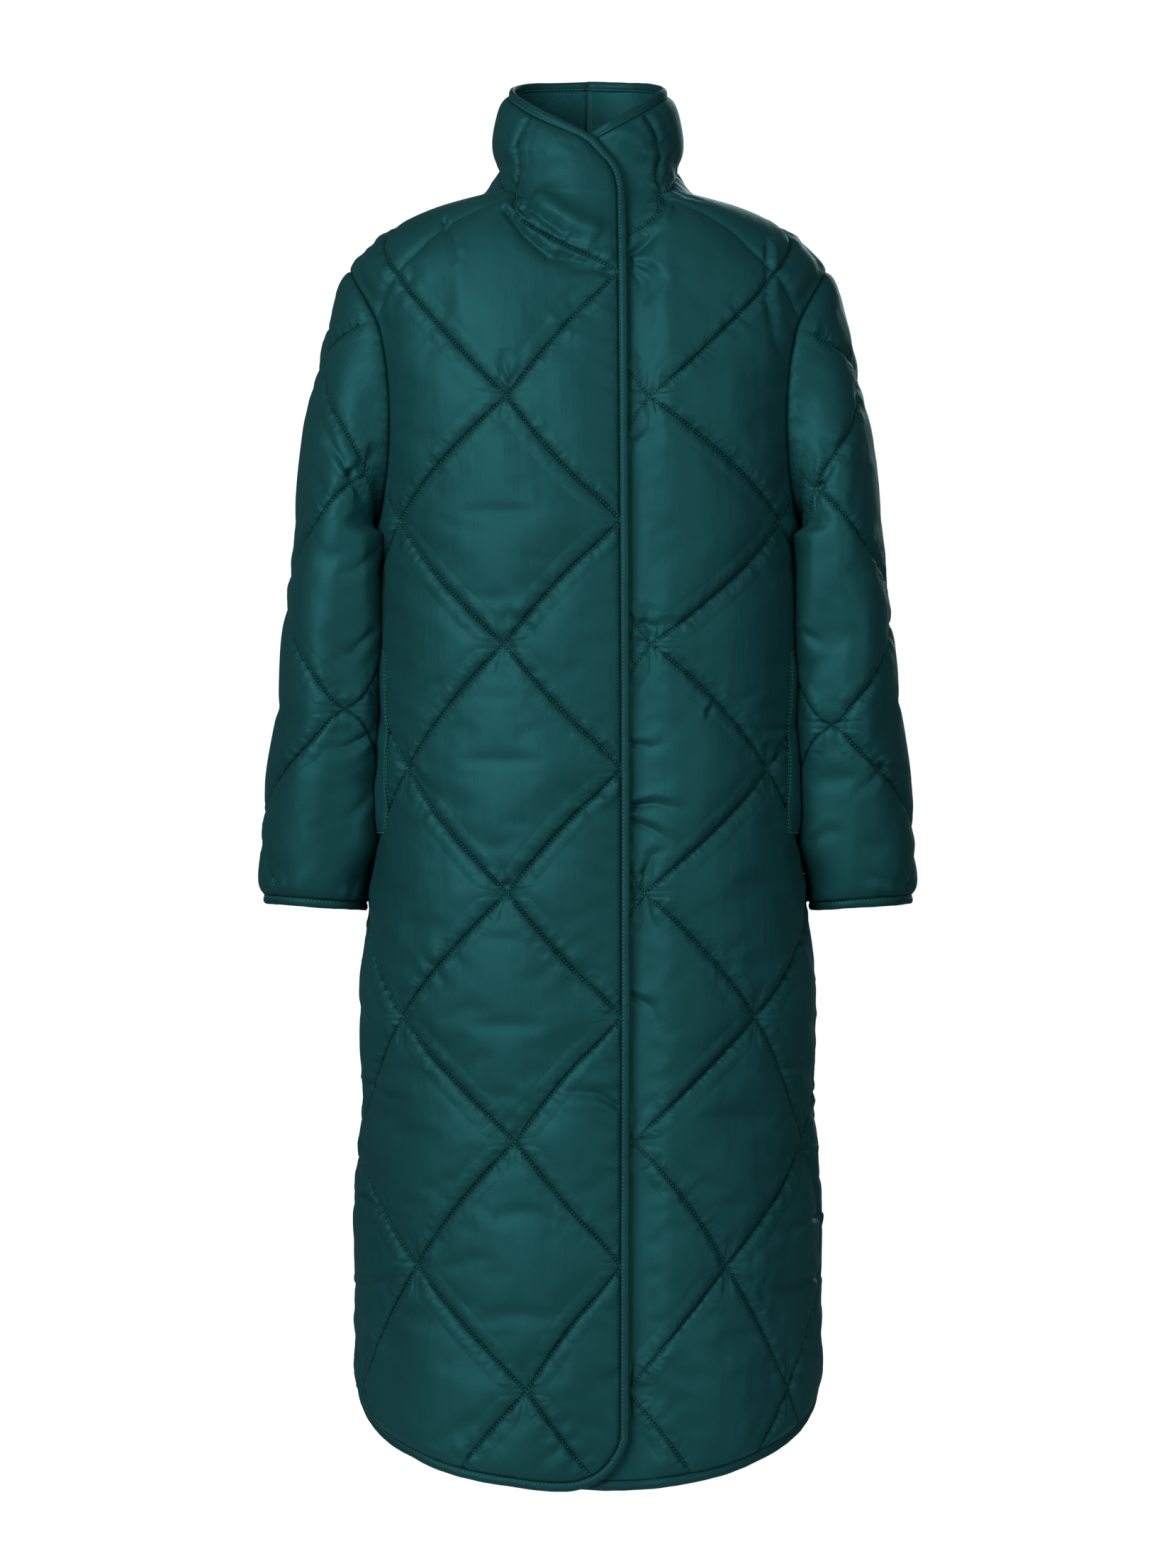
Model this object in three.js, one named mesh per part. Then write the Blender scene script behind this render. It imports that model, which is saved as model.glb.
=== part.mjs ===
// A long, loose quilted coat with a funnel collar grown on to its fronts, worn on nobody.
// Millimetres, +Z up, the wearer's front towards -Y and right hand towards -X. The origin
// is the middle of the neck, level with the tops of the shoulder seams.
//
// Every panel is a padded wall: a plain inside, and an outside raised in diamonds between
// the quilting lines. Turns are degrees round the body from the middle of the front.

import * as THREE from 'three';

// ---- Cloth ------------------------------------------------------------------------------
const SEAM_GAP = 0.3;          // between two pieces at a seam
const SEAM_WALL = 3;           // shell, padding and lining pressed flat by a line of stitches
const PUFF = 12;               // how far a diamond stands above its quilting lines
const COLLAR_PUFF = 7;
const PUFF_FULLNESS = 0.55;    // below 1 a diamond is flat on top and steep at its lines
const EDGE_PUFF = 0.8;         // share of the puff on the first points in from an edge
const BINDING_WIDTH = 9;
const BINDING_HALF_THICKNESS = 2.5;
const TUCK_CLEARANCE = 3;      // under front's outside, below the over front's inside

// ---- Body -------------------------------------------------------------------------------
const ROUNDNESS = 2.2;         // exponent of the body's oval sections
const ARMHOLE_TOP = -71;
const ARMHOLE_BOTTOM = -301.5;
const ARMHOLE_HALF_DEPTH = 62;
const HEM_START = -993;        // below this the rows of points bend to the curved hem
const DIAMOND_ROW = 115.25;    // half the height of a diamond
const ROWS_PER_DIAMOND_ROW = 4;
const COLLAR_ROWS = 4;
const HEM_ROWS = 6;

// Plain inside of the coat: half width, and how far its front and back stand from the origin.
const BODY = [
  { z: 104, width: 69, front: 57, back: 61 },
  { z: 78, width: 76, front: 64, back: 63 },
  { z: 52, width: 80, front: 72, back: 65 },
  { z: 26, width: 77, front: 79, back: 68 },
  { z: 0, width: 94, front: 85, back: 74 },
  { z: -18, width: 148, front: 91, back: 82 },
  { z: -36, width: 185, front: 98, back: 92 },
  { z: -53, width: 202, front: 104, back: 101 },
  { z: -71, width: 213, front: 109, back: 108 },
  { z: -130, width: 207, front: 124, back: 121 },
  { z: -200, width: 199, front: 135, back: 128 },
  { z: -301, width: 192, front: 143, back: 130 },
  { z: -420, width: 190, front: 146, back: 129 },
  { z: -530, width: 191, front: 148, back: 134 },
  { z: -640, width: 196, front: 150, back: 140 },
  { z: -740, width: 205, front: 153, back: 146 },
  { z: -850, width: 204, front: 156, back: 150 },
  { z: -940, width: 211, front: 158, back: 153 },
  { z: -1020, width: 210, front: 160, back: 156 },
  { z: -1200, width: 213, front: 163, back: 160 },
];

// Finished outline of the over front, past the middle of the front, binding and all.
const OVER_REACH = [
  { z: 96, x: -80 },
  { z: 87, x: -60 },
  { z: 74, x: -38 },
  { z: 60, x: -4 },
  { z: 44, x: 16 },
  { z: 20, x: 34 },
  { z: 0, x: 37 },
  { z: -600, x: 41 },
  { z: -1200, x: 40 },
];
const TUCK_START = 45;         // the under front starts to dip this far before that outline
const TUCK_END = 4;

// How far past the middle of the front each front's free edge reaches.
const FREE_EDGE = [
  { z: 60, over: -8, under: 10 },
  { z: 44, over: 6, under: 22 },
  { z: 32, over: 18, under: 29 },
  { z: 20, over: 24, under: 33 },
  { z: 0, over: 27, under: 36 },
  { z: -80, over: 28.5, under: 36 },
  { z: -600, over: 31, under: 36 },
  { z: -1200, over: 30, under: 36 },
];

// Top of the collar by turn from the middle of the front.
const COLLAR_TOP = [
  { turn: -24, over: 36, under: 36 },
  { turn: -10, over: 42, under: 48 },
  { turn: -4, over: 47, under: 52 },
  { turn: 6, over: 58, under: 58 },
  { turn: 34, over: 74, under: 77 },
  { turn: 60, over: 87, under: 90 },
  { turn: 90, over: 96, under: 96 },
  { turn: 135, over: 101, under: 101 },
  { turn: 180, over: 102, under: 102 },
];

// Curved hem by turn from the middle of the front, or of the back.
const HEM = [
  { turn: -12, over: -1130, under: -1188, back: -1182 },
  { turn: -7.2, over: -1148, under: -1189, back: -1182 },
  { turn: -5, over: -1168, under: -1190, back: -1182 },
  { turn: -1, over: -1186, under: -1191, back: -1182 },
  { turn: 4, over: -1193, under: -1192, back: -1182 },
  { turn: 15, over: -1190, under: -1190, back: -1180 },
  { turn: 33, over: -1179, under: -1179, back: -1171 },
  { turn: 48, over: -1163, under: -1163, back: -1157 },
  { turn: 61, over: -1147, under: -1147, back: -1143 },
  { turn: 78, over: -1121, under: -1121, back: -1120 },
  { turn: 90, over: -1100, under: -1100, back: -1100 },
];

// Turns of the two columns of diamond corners on each panel, by row of corners: row -1 is
// the neck, row 0 the tops of the armholes, and -2 lies beyond the top of the collar.
const OVER_LATTICE = [
  { row: -2, first: 88, second: 165 },
  { row: -1, first: 42, second: 77 },
  { row: 0, first: 21, second: 54 },
  { row: 2, first: 22, second: 62 },
  { row: 4, first: 21, second: 58 },
  { row: 6, first: 18.5, second: 54 },
  { row: 8, first: 15, second: 46 },
  { row: 10, first: 12, second: 42 },
];
const UNDER_LATTICE = [
  { row: -2, first: 88, second: 165 },
  { row: -1, first: 42, second: 77 },
  { row: 0, first: 16.5, second: 52 },
  { row: 2, first: 16.6, second: 64 },
  { row: 4, first: 15, second: 57 },
  { row: 6, first: 12, second: 46 },
  { row: 8, first: 9, second: 35 },
  { row: 10, first: 8, second: 32 },
];
const BACK_LATTICE = [
  { row: -1, first: 42, second: 72 },
  { row: 0, first: 28, second: 58 },
  { row: 10, first: 28, second: 62 },
];
const CELLS_PER_COLUMN = 4;
const SIDE_STEPS = [0.45, 0.75, 1];      // points from the second column out to the side seam
const NECK_STEPS = 5;                    // points from the side of the neck to its back seam

// ---- Sleeves ----------------------------------------------------------------------------
const SLEEVE_RINGS = 21;
const SLEEVE_ROW = 110.5;                // half the height of a diamond on the sleeve
const SLEEVE_SPOKES = 16;
const SLEEVE_NODE_SPOKE = 5;             // spoke that runs down the front corners
const SLEEVE_SPOKES_PER_COLUMN = 4;
const SLEEVE_ROUNDNESS = 2.1;
const SLEEVE_SET_BACK = 4;               // the cuff hangs this far behind the shoulder

// Plain inside of a sleeve: its outermost and innermost points and half its depth.
const SLEEVE = [
  { along: 0.0, outX: 213, outZ: -73, inX: 200, inZ: -301, depth: 62 },
  { along: 0.05, outX: 227, outZ: -96, inX: 217, inZ: -299, depth: 65 },
  { along: 0.1, outX: 238, outZ: -127, inX: 217, inZ: -316, depth: 70 },
  { along: 0.2, outX: 249, outZ: -184, inX: 215, inZ: -354, depth: 76 },
  { along: 0.3, outX: 256, outZ: -242, inX: 214, inZ: -391, depth: 78 },
  { along: 0.4, outX: 262, outZ: -300, inX: 213, inZ: -430, depth: 77 },
  { along: 0.5, outX: 271, outZ: -358, inX: 213, inZ: -468, depth: 75 },
  { along: 0.6, outX: 277, outZ: -416, inX: 213, inZ: -506, depth: 73 },
  { along: 0.7, outX: 281, outZ: -474, inX: 213, inZ: -544, depth: 70 },
  { along: 0.8, outX: 290, outZ: -532, inX: 213, inZ: -582, depth: 67 },
  { along: 0.9, outX: 296, outZ: -590, inX: 213, inZ: -620, depth: 64 },
  { along: 1.0, outX: 300, outZ: -650, inX: 213, inZ: -656, depth: 60 },
];

// Turns round the sleeve, from its outermost point by the front, of every fourth spoke.
const SLEEVE_TURN = [
  { spoke: -3, turn: -82 },
  { spoke: 1, turn: 12 },
  { spoke: 5, turn: 108 },
  { spoke: 9, turn: 196 },
  { spoke: 13, turn: 278 },
  { spoke: 17, turn: 372 },
];

// ---- Pockets ----------------------------------------------------------------------------
const WELT_TOP = -422;
const WELT_BOTTOM = -592;
const WELT_THICKNESS = [2.5, 6, 3];      // from the front edge of the welt to the side seam

const SHELL_COLOUR = 0x1b4d50;
const BINDING_COLOUR = 0x174347;

// ---- Tables and small sums ----------------------------------------------------------------
const radians = (degrees) => THREE.MathUtils.degToRad(degrees);
const signedPower = (value, power) => Math.sign(value) * Math.abs(value) ** power;
const towards = (from, to, share) => from + (to - from) * share;

// Smooth curve through a table's rows, by its key column; flat past either end.
function look(table, key, at, column) {
  const rows = [...table].sort((a, b) => a[key] - b[key]);
  const last = rows.length - 1;
  if (at <= rows[0][key]) return rows[0][column];
  if (at >= rows[last][key]) return rows[last][column];
  const i = rows.findIndex((row) => row[key] > at) - 1;
  const slope = (a, b) => (rows[b][column] - rows[a][column]) / (rows[b][key] - rows[a][key]);
  const span = rows[i + 1][key] - rows[i][key];
  const share = (at - rows[i][key]) / span;
  const start = slope(Math.max(i - 1, 0), i + 1) * span;
  const end = slope(i, Math.min(i + 2, last)) * span;
  const s2 = share * share;
  const s3 = s2 * share;
  return rows[i][column] * (2 * s3 - 3 * s2 + 1) + start * (s3 - 2 * s2 + share)
    + rows[i + 1][column] * (3 * s2 - 2 * s3) + end * (s3 - s2);
}

// Height of a padded diamond, from 0 on a quilting line to 1 in its middle.
function diamond(column, row) {
  const falling = Math.abs(Math.sin(Math.PI * (column + row) / 2));
  const rising = Math.abs(Math.sin(Math.PI * (column - row) / 2));
  return (falling * rising) ** PUFF_FULLNESS;
}

// ---- Shape of the body ----------------------------------------------------------------------
function bodyPoint(turn, z) {
  const angle = radians(turn);
  const depth = Math.cos(angle) > 0 ? look(BODY, 'z', z, 'front') : look(BODY, 'z', z, 'back');
  const x = look(BODY, 'z', z, 'width') * signedPower(Math.sin(angle), 2 / ROUNDNESS);
  return new THREE.Vector3(x, -depth * signedPower(Math.cos(angle), 2 / ROUNDNESS), z);
}

function bodyNormal(turn, z) {
  const round = bodyPoint(turn + 1, z).sub(bodyPoint(turn - 1, z));
  const down = bodyPoint(turn, z - 3).sub(bodyPoint(turn, z + 3));
  return down.cross(round).normalize();
}

// Turn of the point that lies a distance past the middle of the front.
function turnAt(distance, z) {
  const share = distance / look(BODY, 'z', z, 'width');
  return THREE.MathUtils.radToDeg(Math.asin(signedPower(share, ROUNDNESS / 2)));
}

// Turn, out from the middle of the front or back, of a panel's edge at the side.
function sideTurn(z, isBack) {
  if (z >= ARMHOLE_TOP || z <= ARMHOLE_BOTTOM) return 90;
  const share = Math.abs(2 * (ARMHOLE_TOP - z) / (ARMHOLE_TOP - ARMHOLE_BOTTOM) - 1);
  const reach = ARMHOLE_HALF_DEPTH * (1 - share ** ROUNDNESS) ** (1 / ROUNDNESS);
  const depth = look(BODY, 'z', z, isBack ? 'back' : 'front');
  return THREE.MathUtils.radToDeg(Math.acos((reach / depth) ** (ROUNDNESS / 2)));
}

// Way through the wall at an armhole: between the body's own and the sleeve's.
function armholeWay(turn, z) {
  const centre = (ARMHOLE_TOP + ARMHOLE_BOTTOM) / 2;
  const up = (z - centre) / ((ARMHOLE_TOP - ARMHOLE_BOTTOM) / 2);
  const radial = new THREE.Vector3(0, bodyPoint(turn, z).y / ARMHOLE_HALF_DEPTH, up);
  return bodyNormal(turn, z).multiplyScalar(0.6).add(radial.normalize()).normalize();
}

// ---- Walls ------------------------------------------------------------------------------------
// A closed wall from a grid of points {inner, outer}, or null where the panel has none.
// Each cell is split along the diagonal where its wall is thinner, so valleys run unbroken.
function wallGeometry(grid, closed = false) {
  const positions = [];
  const index = [];
  const ids = grid.map((row) => row.map((point) => {
    if (!point) return null;
    positions.push(...point.inner.toArray(), ...point.outer.toArray());
    return positions.length / 3 - 2;
  }));
  const width = grid[0].length;
  const across = (i) => (closed ? (i + width) % width : i);
  const cells = closed ? width : width - 1;
  const cellAt = (i, j) => {
    if (j < 0 || j >= grid.length - 1 || (!closed && (i < 0 || i >= cells))) return null;
    const [left, right] = [across(i), across(i + 1)];
    const corners = [[left, j], [right, j], [right, j + 1], [left, j + 1]];
    return corners.every(([c, r]) => ids[r][c] !== null) ? corners : null;
  };
  const wall = ([c, r]) => grid[r][c].outer.distanceTo(grid[r][c].inner);
  const quad = (a, b, c, d) => index.push(a, b, c, a, c, d);
  for (let j = 0; j < grid.length - 1; j += 1) {
    for (let i = 0; i < cells; i += 1) {
      const corners = cellAt(i, j);
      if (!corners) continue;
      const turned = wall(corners[0]) + wall(corners[2]) > wall(corners[1]) + wall(corners[3]);
      const order = turned ? [1, 2, 3, 0] : [0, 1, 2, 3];
      const [a, b, c, d] = order.map((k) => ids[corners[k][1]][corners[k][0]]);
      quad(a + 1, b + 1, c + 1, d + 1);
      quad(d, c, b, a);
      const sides = [cellAt(i, j - 1), cellAt(i + 1, j), cellAt(i, j + 1), cellAt(i - 1, j)];
      sides.forEach((neighbour, k) => {
        if (neighbour) return;
        const from = ids[corners[k][1]][corners[k][0]];
        const to = ids[corners[(k + 1) % 4][1]][corners[(k + 1) % 4][0]];
        quad(from, to, to + 1, from + 1);
      });
    }
  }
  return closedGeometry(positions, index);
}

// A closed body of the given faces, turned so that they point out.
function closedGeometry(positions, index) {
  const at = (i) => new THREE.Vector3().fromArray(positions, 3 * i);
  let volume = 0;
  for (let t = 0; t < index.length; t += 3) {
    volume += at(index[t]).dot(at(index[t + 1]).cross(at(index[t + 2])));
  }
  if (volume < 0) index.reverse();
  const geometry = new THREE.BufferGeometry();
  geometry.setAttribute('position', new THREE.Float32BufferAttribute(positions, 3));
  geometry.setIndex(index);
  geometry.computeVertexNormals();
  return geometry;
}

// ---- Panels of the body -------------------------------------------------------------------------
// Rows of points down a panel: each has its place among the diamonds and its height by turn.
function collarRows(piece) {
  return Array.from({ length: COLLAR_ROWS }, (_, n) => {
    const rise = 1 - n / COLLAR_ROWS;
    return { row: -1 - rise, rise, height: (turn) => rise * look(COLLAR_TOP, 'turn', turn, piece) };
  });
}

function bodyRows() {
  const count = (HEM_START - ARMHOLE_TOP) / -DIAMOND_ROW + 1;
  return Array.from({ length: count * ROWS_PER_DIAMOND_ROW + 1 }, (_, n) => {
    const row = n / ROWS_PER_DIAMOND_ROW - 1;
    const z = row < 0 ? ARMHOLE_TOP * (1 + row) : ARMHOLE_TOP - row * DIAMOND_ROW;
    return { row, rise: 0, height: () => z };
  });
}

function hemRows(piece) {
  return Array.from({ length: HEM_ROWS }, (_, n) => {
    const share = (n + 1) / HEM_ROWS;
    const height = (turn) => towards(HEM_START, look(HEM, 'turn', turn, piece), share);
    return { row: null, rise: 0, height };
  });
}

// Turn of a front's free edge in a row, where the edge and the row's height agree.
function edgeTurn(piece, height) {
  let turn = -10;
  for (let n = 0; n < 8; n += 1) {
    const z = height(turn);
    turn = -turnAt(look(FREE_EDGE, 'z', z, piece), z);
  }
  return turn;
}

// A point of a padded wall: its plain inside, its outside, and its wall.
function padded(base, normal, wall, inset = 0) {
  const inner = base.clone().addScaledVector(normal, -inset);
  const outer = inner.clone().addScaledVector(normal, wall);
  return { inner, outer, wall };
}

// Share of full puff a point has, by how many points it is from the nearest edge.
const edgeShare = (steps) => [0, EDGE_PUFF, 1][Math.min(steps, 2)];

// Holds a point on the flat of a seam, clear of the piece that is sewn on there.
function pin(point, axis, value) {
  point.inner[axis] = value;
  point.outer[axis] = value;
}

const atArmhole = (z) => z <= ARMHOLE_TOP && z >= ARMHOLE_BOTTOM;

// How far the under front is tucked in behind the over front, from 0 to 1.
function tuckShare(piece, base) {
  if (piece !== 'under') return 0;
  const clear = base.x - look(OVER_REACH, 'z', base.z, 'x');
  return 1 - THREE.MathUtils.smoothstep(clear, TUCK_END, TUCK_START);
}

// One front with its half of the collar, which runs on round the neck to the back seam.
// Hand is -1 on the wearer's right and 1 on the left.
function frontGrid(piece, hand) {
  const lattice = piece === 'over' ? OVER_LATTICE : UNDER_LATTICE;
  const rows = [...collarRows(piece), ...bodyRows(), ...hemRows(piece)];
  const sideIndex = 2 * CELLS_PER_COLUMN + SIDE_STEPS.length;
  return rows.map(({ row, rise, height }, j) => {
    const place = row ?? (ARMHOLE_TOP - height(0)) / DIAMOND_ROW;
    const edge = edgeTurn(piece, height);
    const first = look(lattice, 'row', place, 'first');
    const second = look(lattice, 'row', place, 'second');
    const z0 = height(second);
    const side = sideTurn(z0, false);
    const isNeck = row === -1;
    const points = [];
    for (let i = 0; i <= sideIndex + NECK_STEPS; i += 1) {
      if (i > sideIndex && rise === 0 && !isNeck) {
        points.push(null);
        continue;
      }
      const turn = frontTurn(i, { edge, first, second: Math.min(second, side - 3), side, rise });
      const z = height(turn);
      const base = bodyPoint(hand * turn, z);
      const normal = bodyNormal(hand * turn, z);
      const column = latticeColumn(turn, edge, first, second);
      const across = rise > 0 ? sideIndex + NECK_STEPS - i : Math.abs(sideIndex - i);
      const nearest = Math.min(i, across, j, rows.length - 1 - j, isNeck && i > sideIndex ? 0 : 9);
      const tuck = tuckShare(piece, base);
      const fullness = rise > 0 || isNeck ? COLLAR_PUFF : PUFF;
      const diamondRow = row ?? (ARMHOLE_TOP - z) / DIAMOND_ROW;
      const puff = fullness * diamond(column, diamondRow) * edgeShare(nearest);
      const wall = SEAM_WALL + puff * (1 - tuck);
      const onArmhole = i === sideIndex && atArmhole(z);
      const onNeck = isNeck && i >= sideIndex;
      const way = wayThrough(hand * turn, z, onArmhole, onNeck);
      const point = padded(base, way ?? normal, wall, tuck * (TUCK_CLEARANCE + SEAM_WALL));
      if (i === sideIndex && side === 90 && rise === 0) pin(point, 'y', -SEAM_GAP / 2);
      if (onNeck) pin(point, 'z', SEAM_GAP / 2);
      if (i === sideIndex + NECK_STEPS) pin(point, 'x', hand * SEAM_GAP / 2);
      points.push({ ...point, z, turn });
    }
    return points;
  });
}

// Turn of the i-th point of a front's row: even round the collar, by the diamonds below it.
function frontTurn(i, { edge, first, second, side, rise }) {
  const sideIndex = 2 * CELLS_PER_COLUMN + SIDE_STEPS.length;
  if (i > sideIndex) return towards(90, 180, (i - sideIndex) / NECK_STEPS);
  const even = towards(edge, 90, i / sideIndex);
  let turn = towards(edge, first, i / CELLS_PER_COLUMN);
  if (i > CELLS_PER_COLUMN) turn = towards(first, second, i / CELLS_PER_COLUMN - 1);
  if (i > 2 * CELLS_PER_COLUMN) {
    turn = towards(second, side, SIDE_STEPS[i - 2 * CELLS_PER_COLUMN - 1]);
  }
  return towards(turn, even, Math.min(1, 2 * rise));
}

// Place of a turn among the columns of diamond corners, 0 at the free edge.
function latticeColumn(turn, edge, first, second) {
  if (turn < first) return (turn - edge) / (first - edge);
  return 1 + (turn - first) / (second - first);
}

// Way through the wall where it isn't square to the cloth: armholes and the back neck seam.
function wayThrough(turn, z, onArmhole, onNeck) {
  if (onArmhole) return armholeWay(turn, z);
  if (onNeck) return bodyNormal(turn, z).setZ(0).normalize();
  return null;
}

function backGrid() {
  const rows = [...bodyRows(), ...hemRows('back')];
  const reach = 2 * CELLS_PER_COLUMN + SIDE_STEPS.length;
  return rows.map(({ row, height }, j) => {
    const place = row ?? (ARMHOLE_TOP - height(0)) / DIAMOND_ROW;
    const first = look(BACK_LATTICE, 'row', place, 'first');
    const second = look(BACK_LATTICE, 'row', place, 'second');
    const side = sideTurn(height(second), true);
    return Array.from({ length: 2 * reach + 1 }, (_, n) => {
      const i = Math.abs(n - reach);
      const hand = n < reach ? -1 : 1;
      const turn = frontTurn(i, { edge: 0, first, second: Math.min(second, side - 3), side, rise: 0 });
      const z = height(turn);
      const around = 180 - hand * turn;
      const column = latticeColumn(turn, 0, first, second);
      const nearest = Math.min(reach - i, j, rows.length - 1 - j);
      const diamondRow = row ?? (ARMHOLE_TOP - z) / DIAMOND_ROW;
      const wall = SEAM_WALL + PUFF * diamond(column, diamondRow) * edgeShare(nearest);
      const way = wayThrough(around, z, i === reach && atArmhole(z), row === -1);
      const point = padded(bodyPoint(around, z), way ?? bodyNormal(around, z), wall);
      if (i === reach && side === 90) pin(point, 'y', SEAM_GAP / 2);
      if (row === -1) pin(point, 'z', -SEAM_GAP / 2);
      return point;
    });
  });
}

// ---- Sleeves ------------------------------------------------------------------------------------
// Points round the left armhole, from the shoulder seam down the front and up the back.
function armhole() {
  const half = SLEEVE_SPOKES / 2;
  return Array.from({ length: SLEEVE_SPOKES }, (_, k) => {
    const isBack = k > half;
    const step = isBack ? SLEEVE_SPOKES - k : k;
    const z = towards(ARMHOLE_TOP, ARMHOLE_BOTTOM, step / half);
    const side = sideTurn(z, isBack);
    const around = isBack ? 180 - side : side;
    const base = bodyPoint(around, z);
    if (step === 0 || step === half) base.y = 0;
    const turn = THREE.MathUtils.radToDeg(Math.acos(1 - 2 * step / half));
    return { base, way: armholeWay(around, z), turn: isBack ? -turn : turn };
  });
}

// Point of the plain inside of the left sleeve, by the share of its length and by turn.
function sleevePoint(along, turn) {
  const at = (column) => look(SLEEVE, 'along', along, column);
  const outermost = new THREE.Vector3(at('outX'), 0, at('outZ'));
  const innermost = new THREE.Vector3(at('inX'), 0, at('inZ'));
  const middle = outermost.clone().add(innermost).multiplyScalar(0.5);
  const reach = outermost.sub(innermost).multiplyScalar(0.5);
  const angle = radians(turn);
  middle.addScaledVector(reach, signedPower(Math.cos(angle), 2 / SLEEVE_ROUNDNESS));
  middle.y = SLEEVE_SET_BACK * along
    - at('depth') * signedPower(Math.sin(angle), 2 / SLEEVE_ROUNDNESS);
  return middle;
}

const BLEND_LENGTH = 0.25;     // share of the sleeve over which the armhole's shape fades out
const SHELTER = 0.2;           // share of the puff on the side against the body

function sleeveGrid(nodeHeight) {
  const seam = armhole();
  const bases = Array.from({ length: SLEEVE_RINGS + 1 }, (_, r) => {
    const along = r / SLEEVE_RINGS;
    const fade = 1 - THREE.MathUtils.smoothstep(along, 0, BLEND_LENGTH);
    return seam.map(({ base, turn }, k) => {
      const spoke = k > SLEEVE_SPOKES - 3 ? k - SLEEVE_SPOKES : k;
      const far = look(SLEEVE_TURN, 'spoke', spoke, 'turn');
      const near = k > SLEEVE_SPOKES / 2 && spoke > 0 ? turn + 360 : turn;
      const shift = base.clone().sub(sleevePoint(0, near));
      return sleevePoint(along, towards(far, near, fade)).addScaledVector(shift, fade);
    });
  });
  return bases.map((ring, r) => ring.map((base, k) => {
    const before = ring[(k + SLEEVE_SPOKES - 1) % SLEEVE_SPOKES];
    const after = ring[(k + 1) % SLEEVE_SPOKES];
    const round = after.clone().sub(before);
    if (r === 0) return armholePoint(seam[k], round);
    const lengthways = bases[Math.min(r + 1, SLEEVE_RINGS)][k].clone().sub(bases[r - 1][k]);
    const normal = round.cross(lengthways).normalize();
    const column = (SLEEVE_NODE_SPOKE - k) / SLEEVE_SPOKES_PER_COLUMN;
    const row = (nodeHeight - base.z) / SLEEVE_ROW;
    const facing = Math.cos(radians(look(SLEEVE_TURN, 'spoke', k, 'turn')));
    const shelter = towards(1, SHELTER, THREE.MathUtils.smoothstep(-facing, 0, 0.6));
    const share = shelter * edgeShare(Math.min(r, SLEEVE_RINGS - r));
    return padded(base, normal, SEAM_WALL + PUFF * diamond(column, row) * share);
  }));
}

// A point of the sleeve's own edge at the armhole, a seam's gap out from the body.
function armholePoint({ base, way }, round) {
  const out = round.clone().cross(way).normalize();
  if (out.x < 0) out.negate();
  return padded(base.clone().addScaledVector(out, SEAM_GAP), way, SEAM_WALL);
}

function mirrored(grid) {
  const flip = (v) => new THREE.Vector3(-v.x, v.y, v.z);
  return grid.map((row) => row.map((p) => ({ inner: flip(p.inner), outer: flip(p.outer) })));
}

// ---- Bindings -------------------------------------------------------------------------------------
// Section of a folded binding: out from the cloth's edge, and through its thickness.
const BINDING_SECTION = [
  { out: SEAM_GAP, through: -BINDING_HALF_THICKNESS },
  { out: 6, through: -BINDING_HALF_THICKNESS },
  { out: BINDING_WIDTH, through: -1.2 },
  { out: BINDING_WIDTH, through: 1.2 },
  { out: 6, through: BINDING_HALF_THICKNESS },
  { out: SEAM_GAP, through: BINDING_HALF_THICKNESS },
];

// A binding folded over the edge that runs through the given points of a wall. Way says
// which way is out of the cloth at the first point; pins hold the two ends at their seams.
function bindingGeometry(edge, way, { closed = false, pins = [] } = {}) {
  const count = edge.length;
  const at = (k) => edge[closed ? (k + count) % count : Math.min(Math.max(k, 0), count - 1)];
  const middle = (p) => p.inner.clone().add(p.outer).multiplyScalar(0.5);
  const frame = (k) => {
    const along = middle(at(k + 1)).sub(middle(at(k - 1)));
    const through = at(k).outer.clone().sub(at(k).inner).normalize();
    return { through, out: along.cross(through).normalize() };
  };
  const sign = Math.sign(frame(0).out.dot(way));
  const positions = [];
  const index = [];
  edge.forEach((point, k) => {
    const { through, out } = frame(k);
    const pinned = pins.find((p) => (p.end === 'start' ? k === 0 : k === count - 1));
    BINDING_SECTION.forEach((corner) => {
      const spot = middle(point).addScaledVector(out, sign * corner.out);
      spot.addScaledVector(through, corner.through);
      if (pinned) spot[pinned.axis] = pinned.value;
      positions.push(...spot.toArray());
    });
  });
  const n = BINDING_SECTION.length;
  for (let k = 0; k < (closed ? count : count - 1); k += 1) {
    for (let c = 0; c < n; c += 1) {
      const [a, b] = [k * n + c, k * n + (c + 1) % n];
      const [d, e] = [a, b].map((id) => (id + n) % (count * n));
      index.push(a, b, e, a, e, d);
    }
  }
  if (!closed) {
    const last = (count - 1) * n;
    for (let c = 1; c < n - 1; c += 1) {
      index.push(0, c + 1, c, last, last + c, last + c + 1);
    }
  }
  return closedGeometry(positions, index);
}

// The bound edge of a front: round the collar from the back seam, down its free edge and
// round its hem to the side seam.
function frontBinding(grid, hand) {
  const sideIndex = 2 * CELLS_PER_COLUMN + SIDE_STEPS.length;
  const top = [...grid[0]].reverse();
  const free = grid.slice(1, -1).map((row) => row[0]);
  const hem = grid[grid.length - 1].slice(0, sideIndex + 1);
  const pins = [
    { end: 'start', axis: 'x', value: hand * SEAM_GAP / 2 },
    { end: 'finish', axis: 'y', value: -SEAM_GAP / 2 },
  ];
  return bindingGeometry([...top, ...free, ...hem], new THREE.Vector3(0, 0, 1), { pins });
}

function backBinding(grid) {
  const pins = ['start', 'finish'].map((end) => ({ end, axis: 'y', value: SEAM_GAP / 2 }));
  return bindingGeometry(grid[grid.length - 1], new THREE.Vector3(0, 0, -1), { pins });
}

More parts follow.
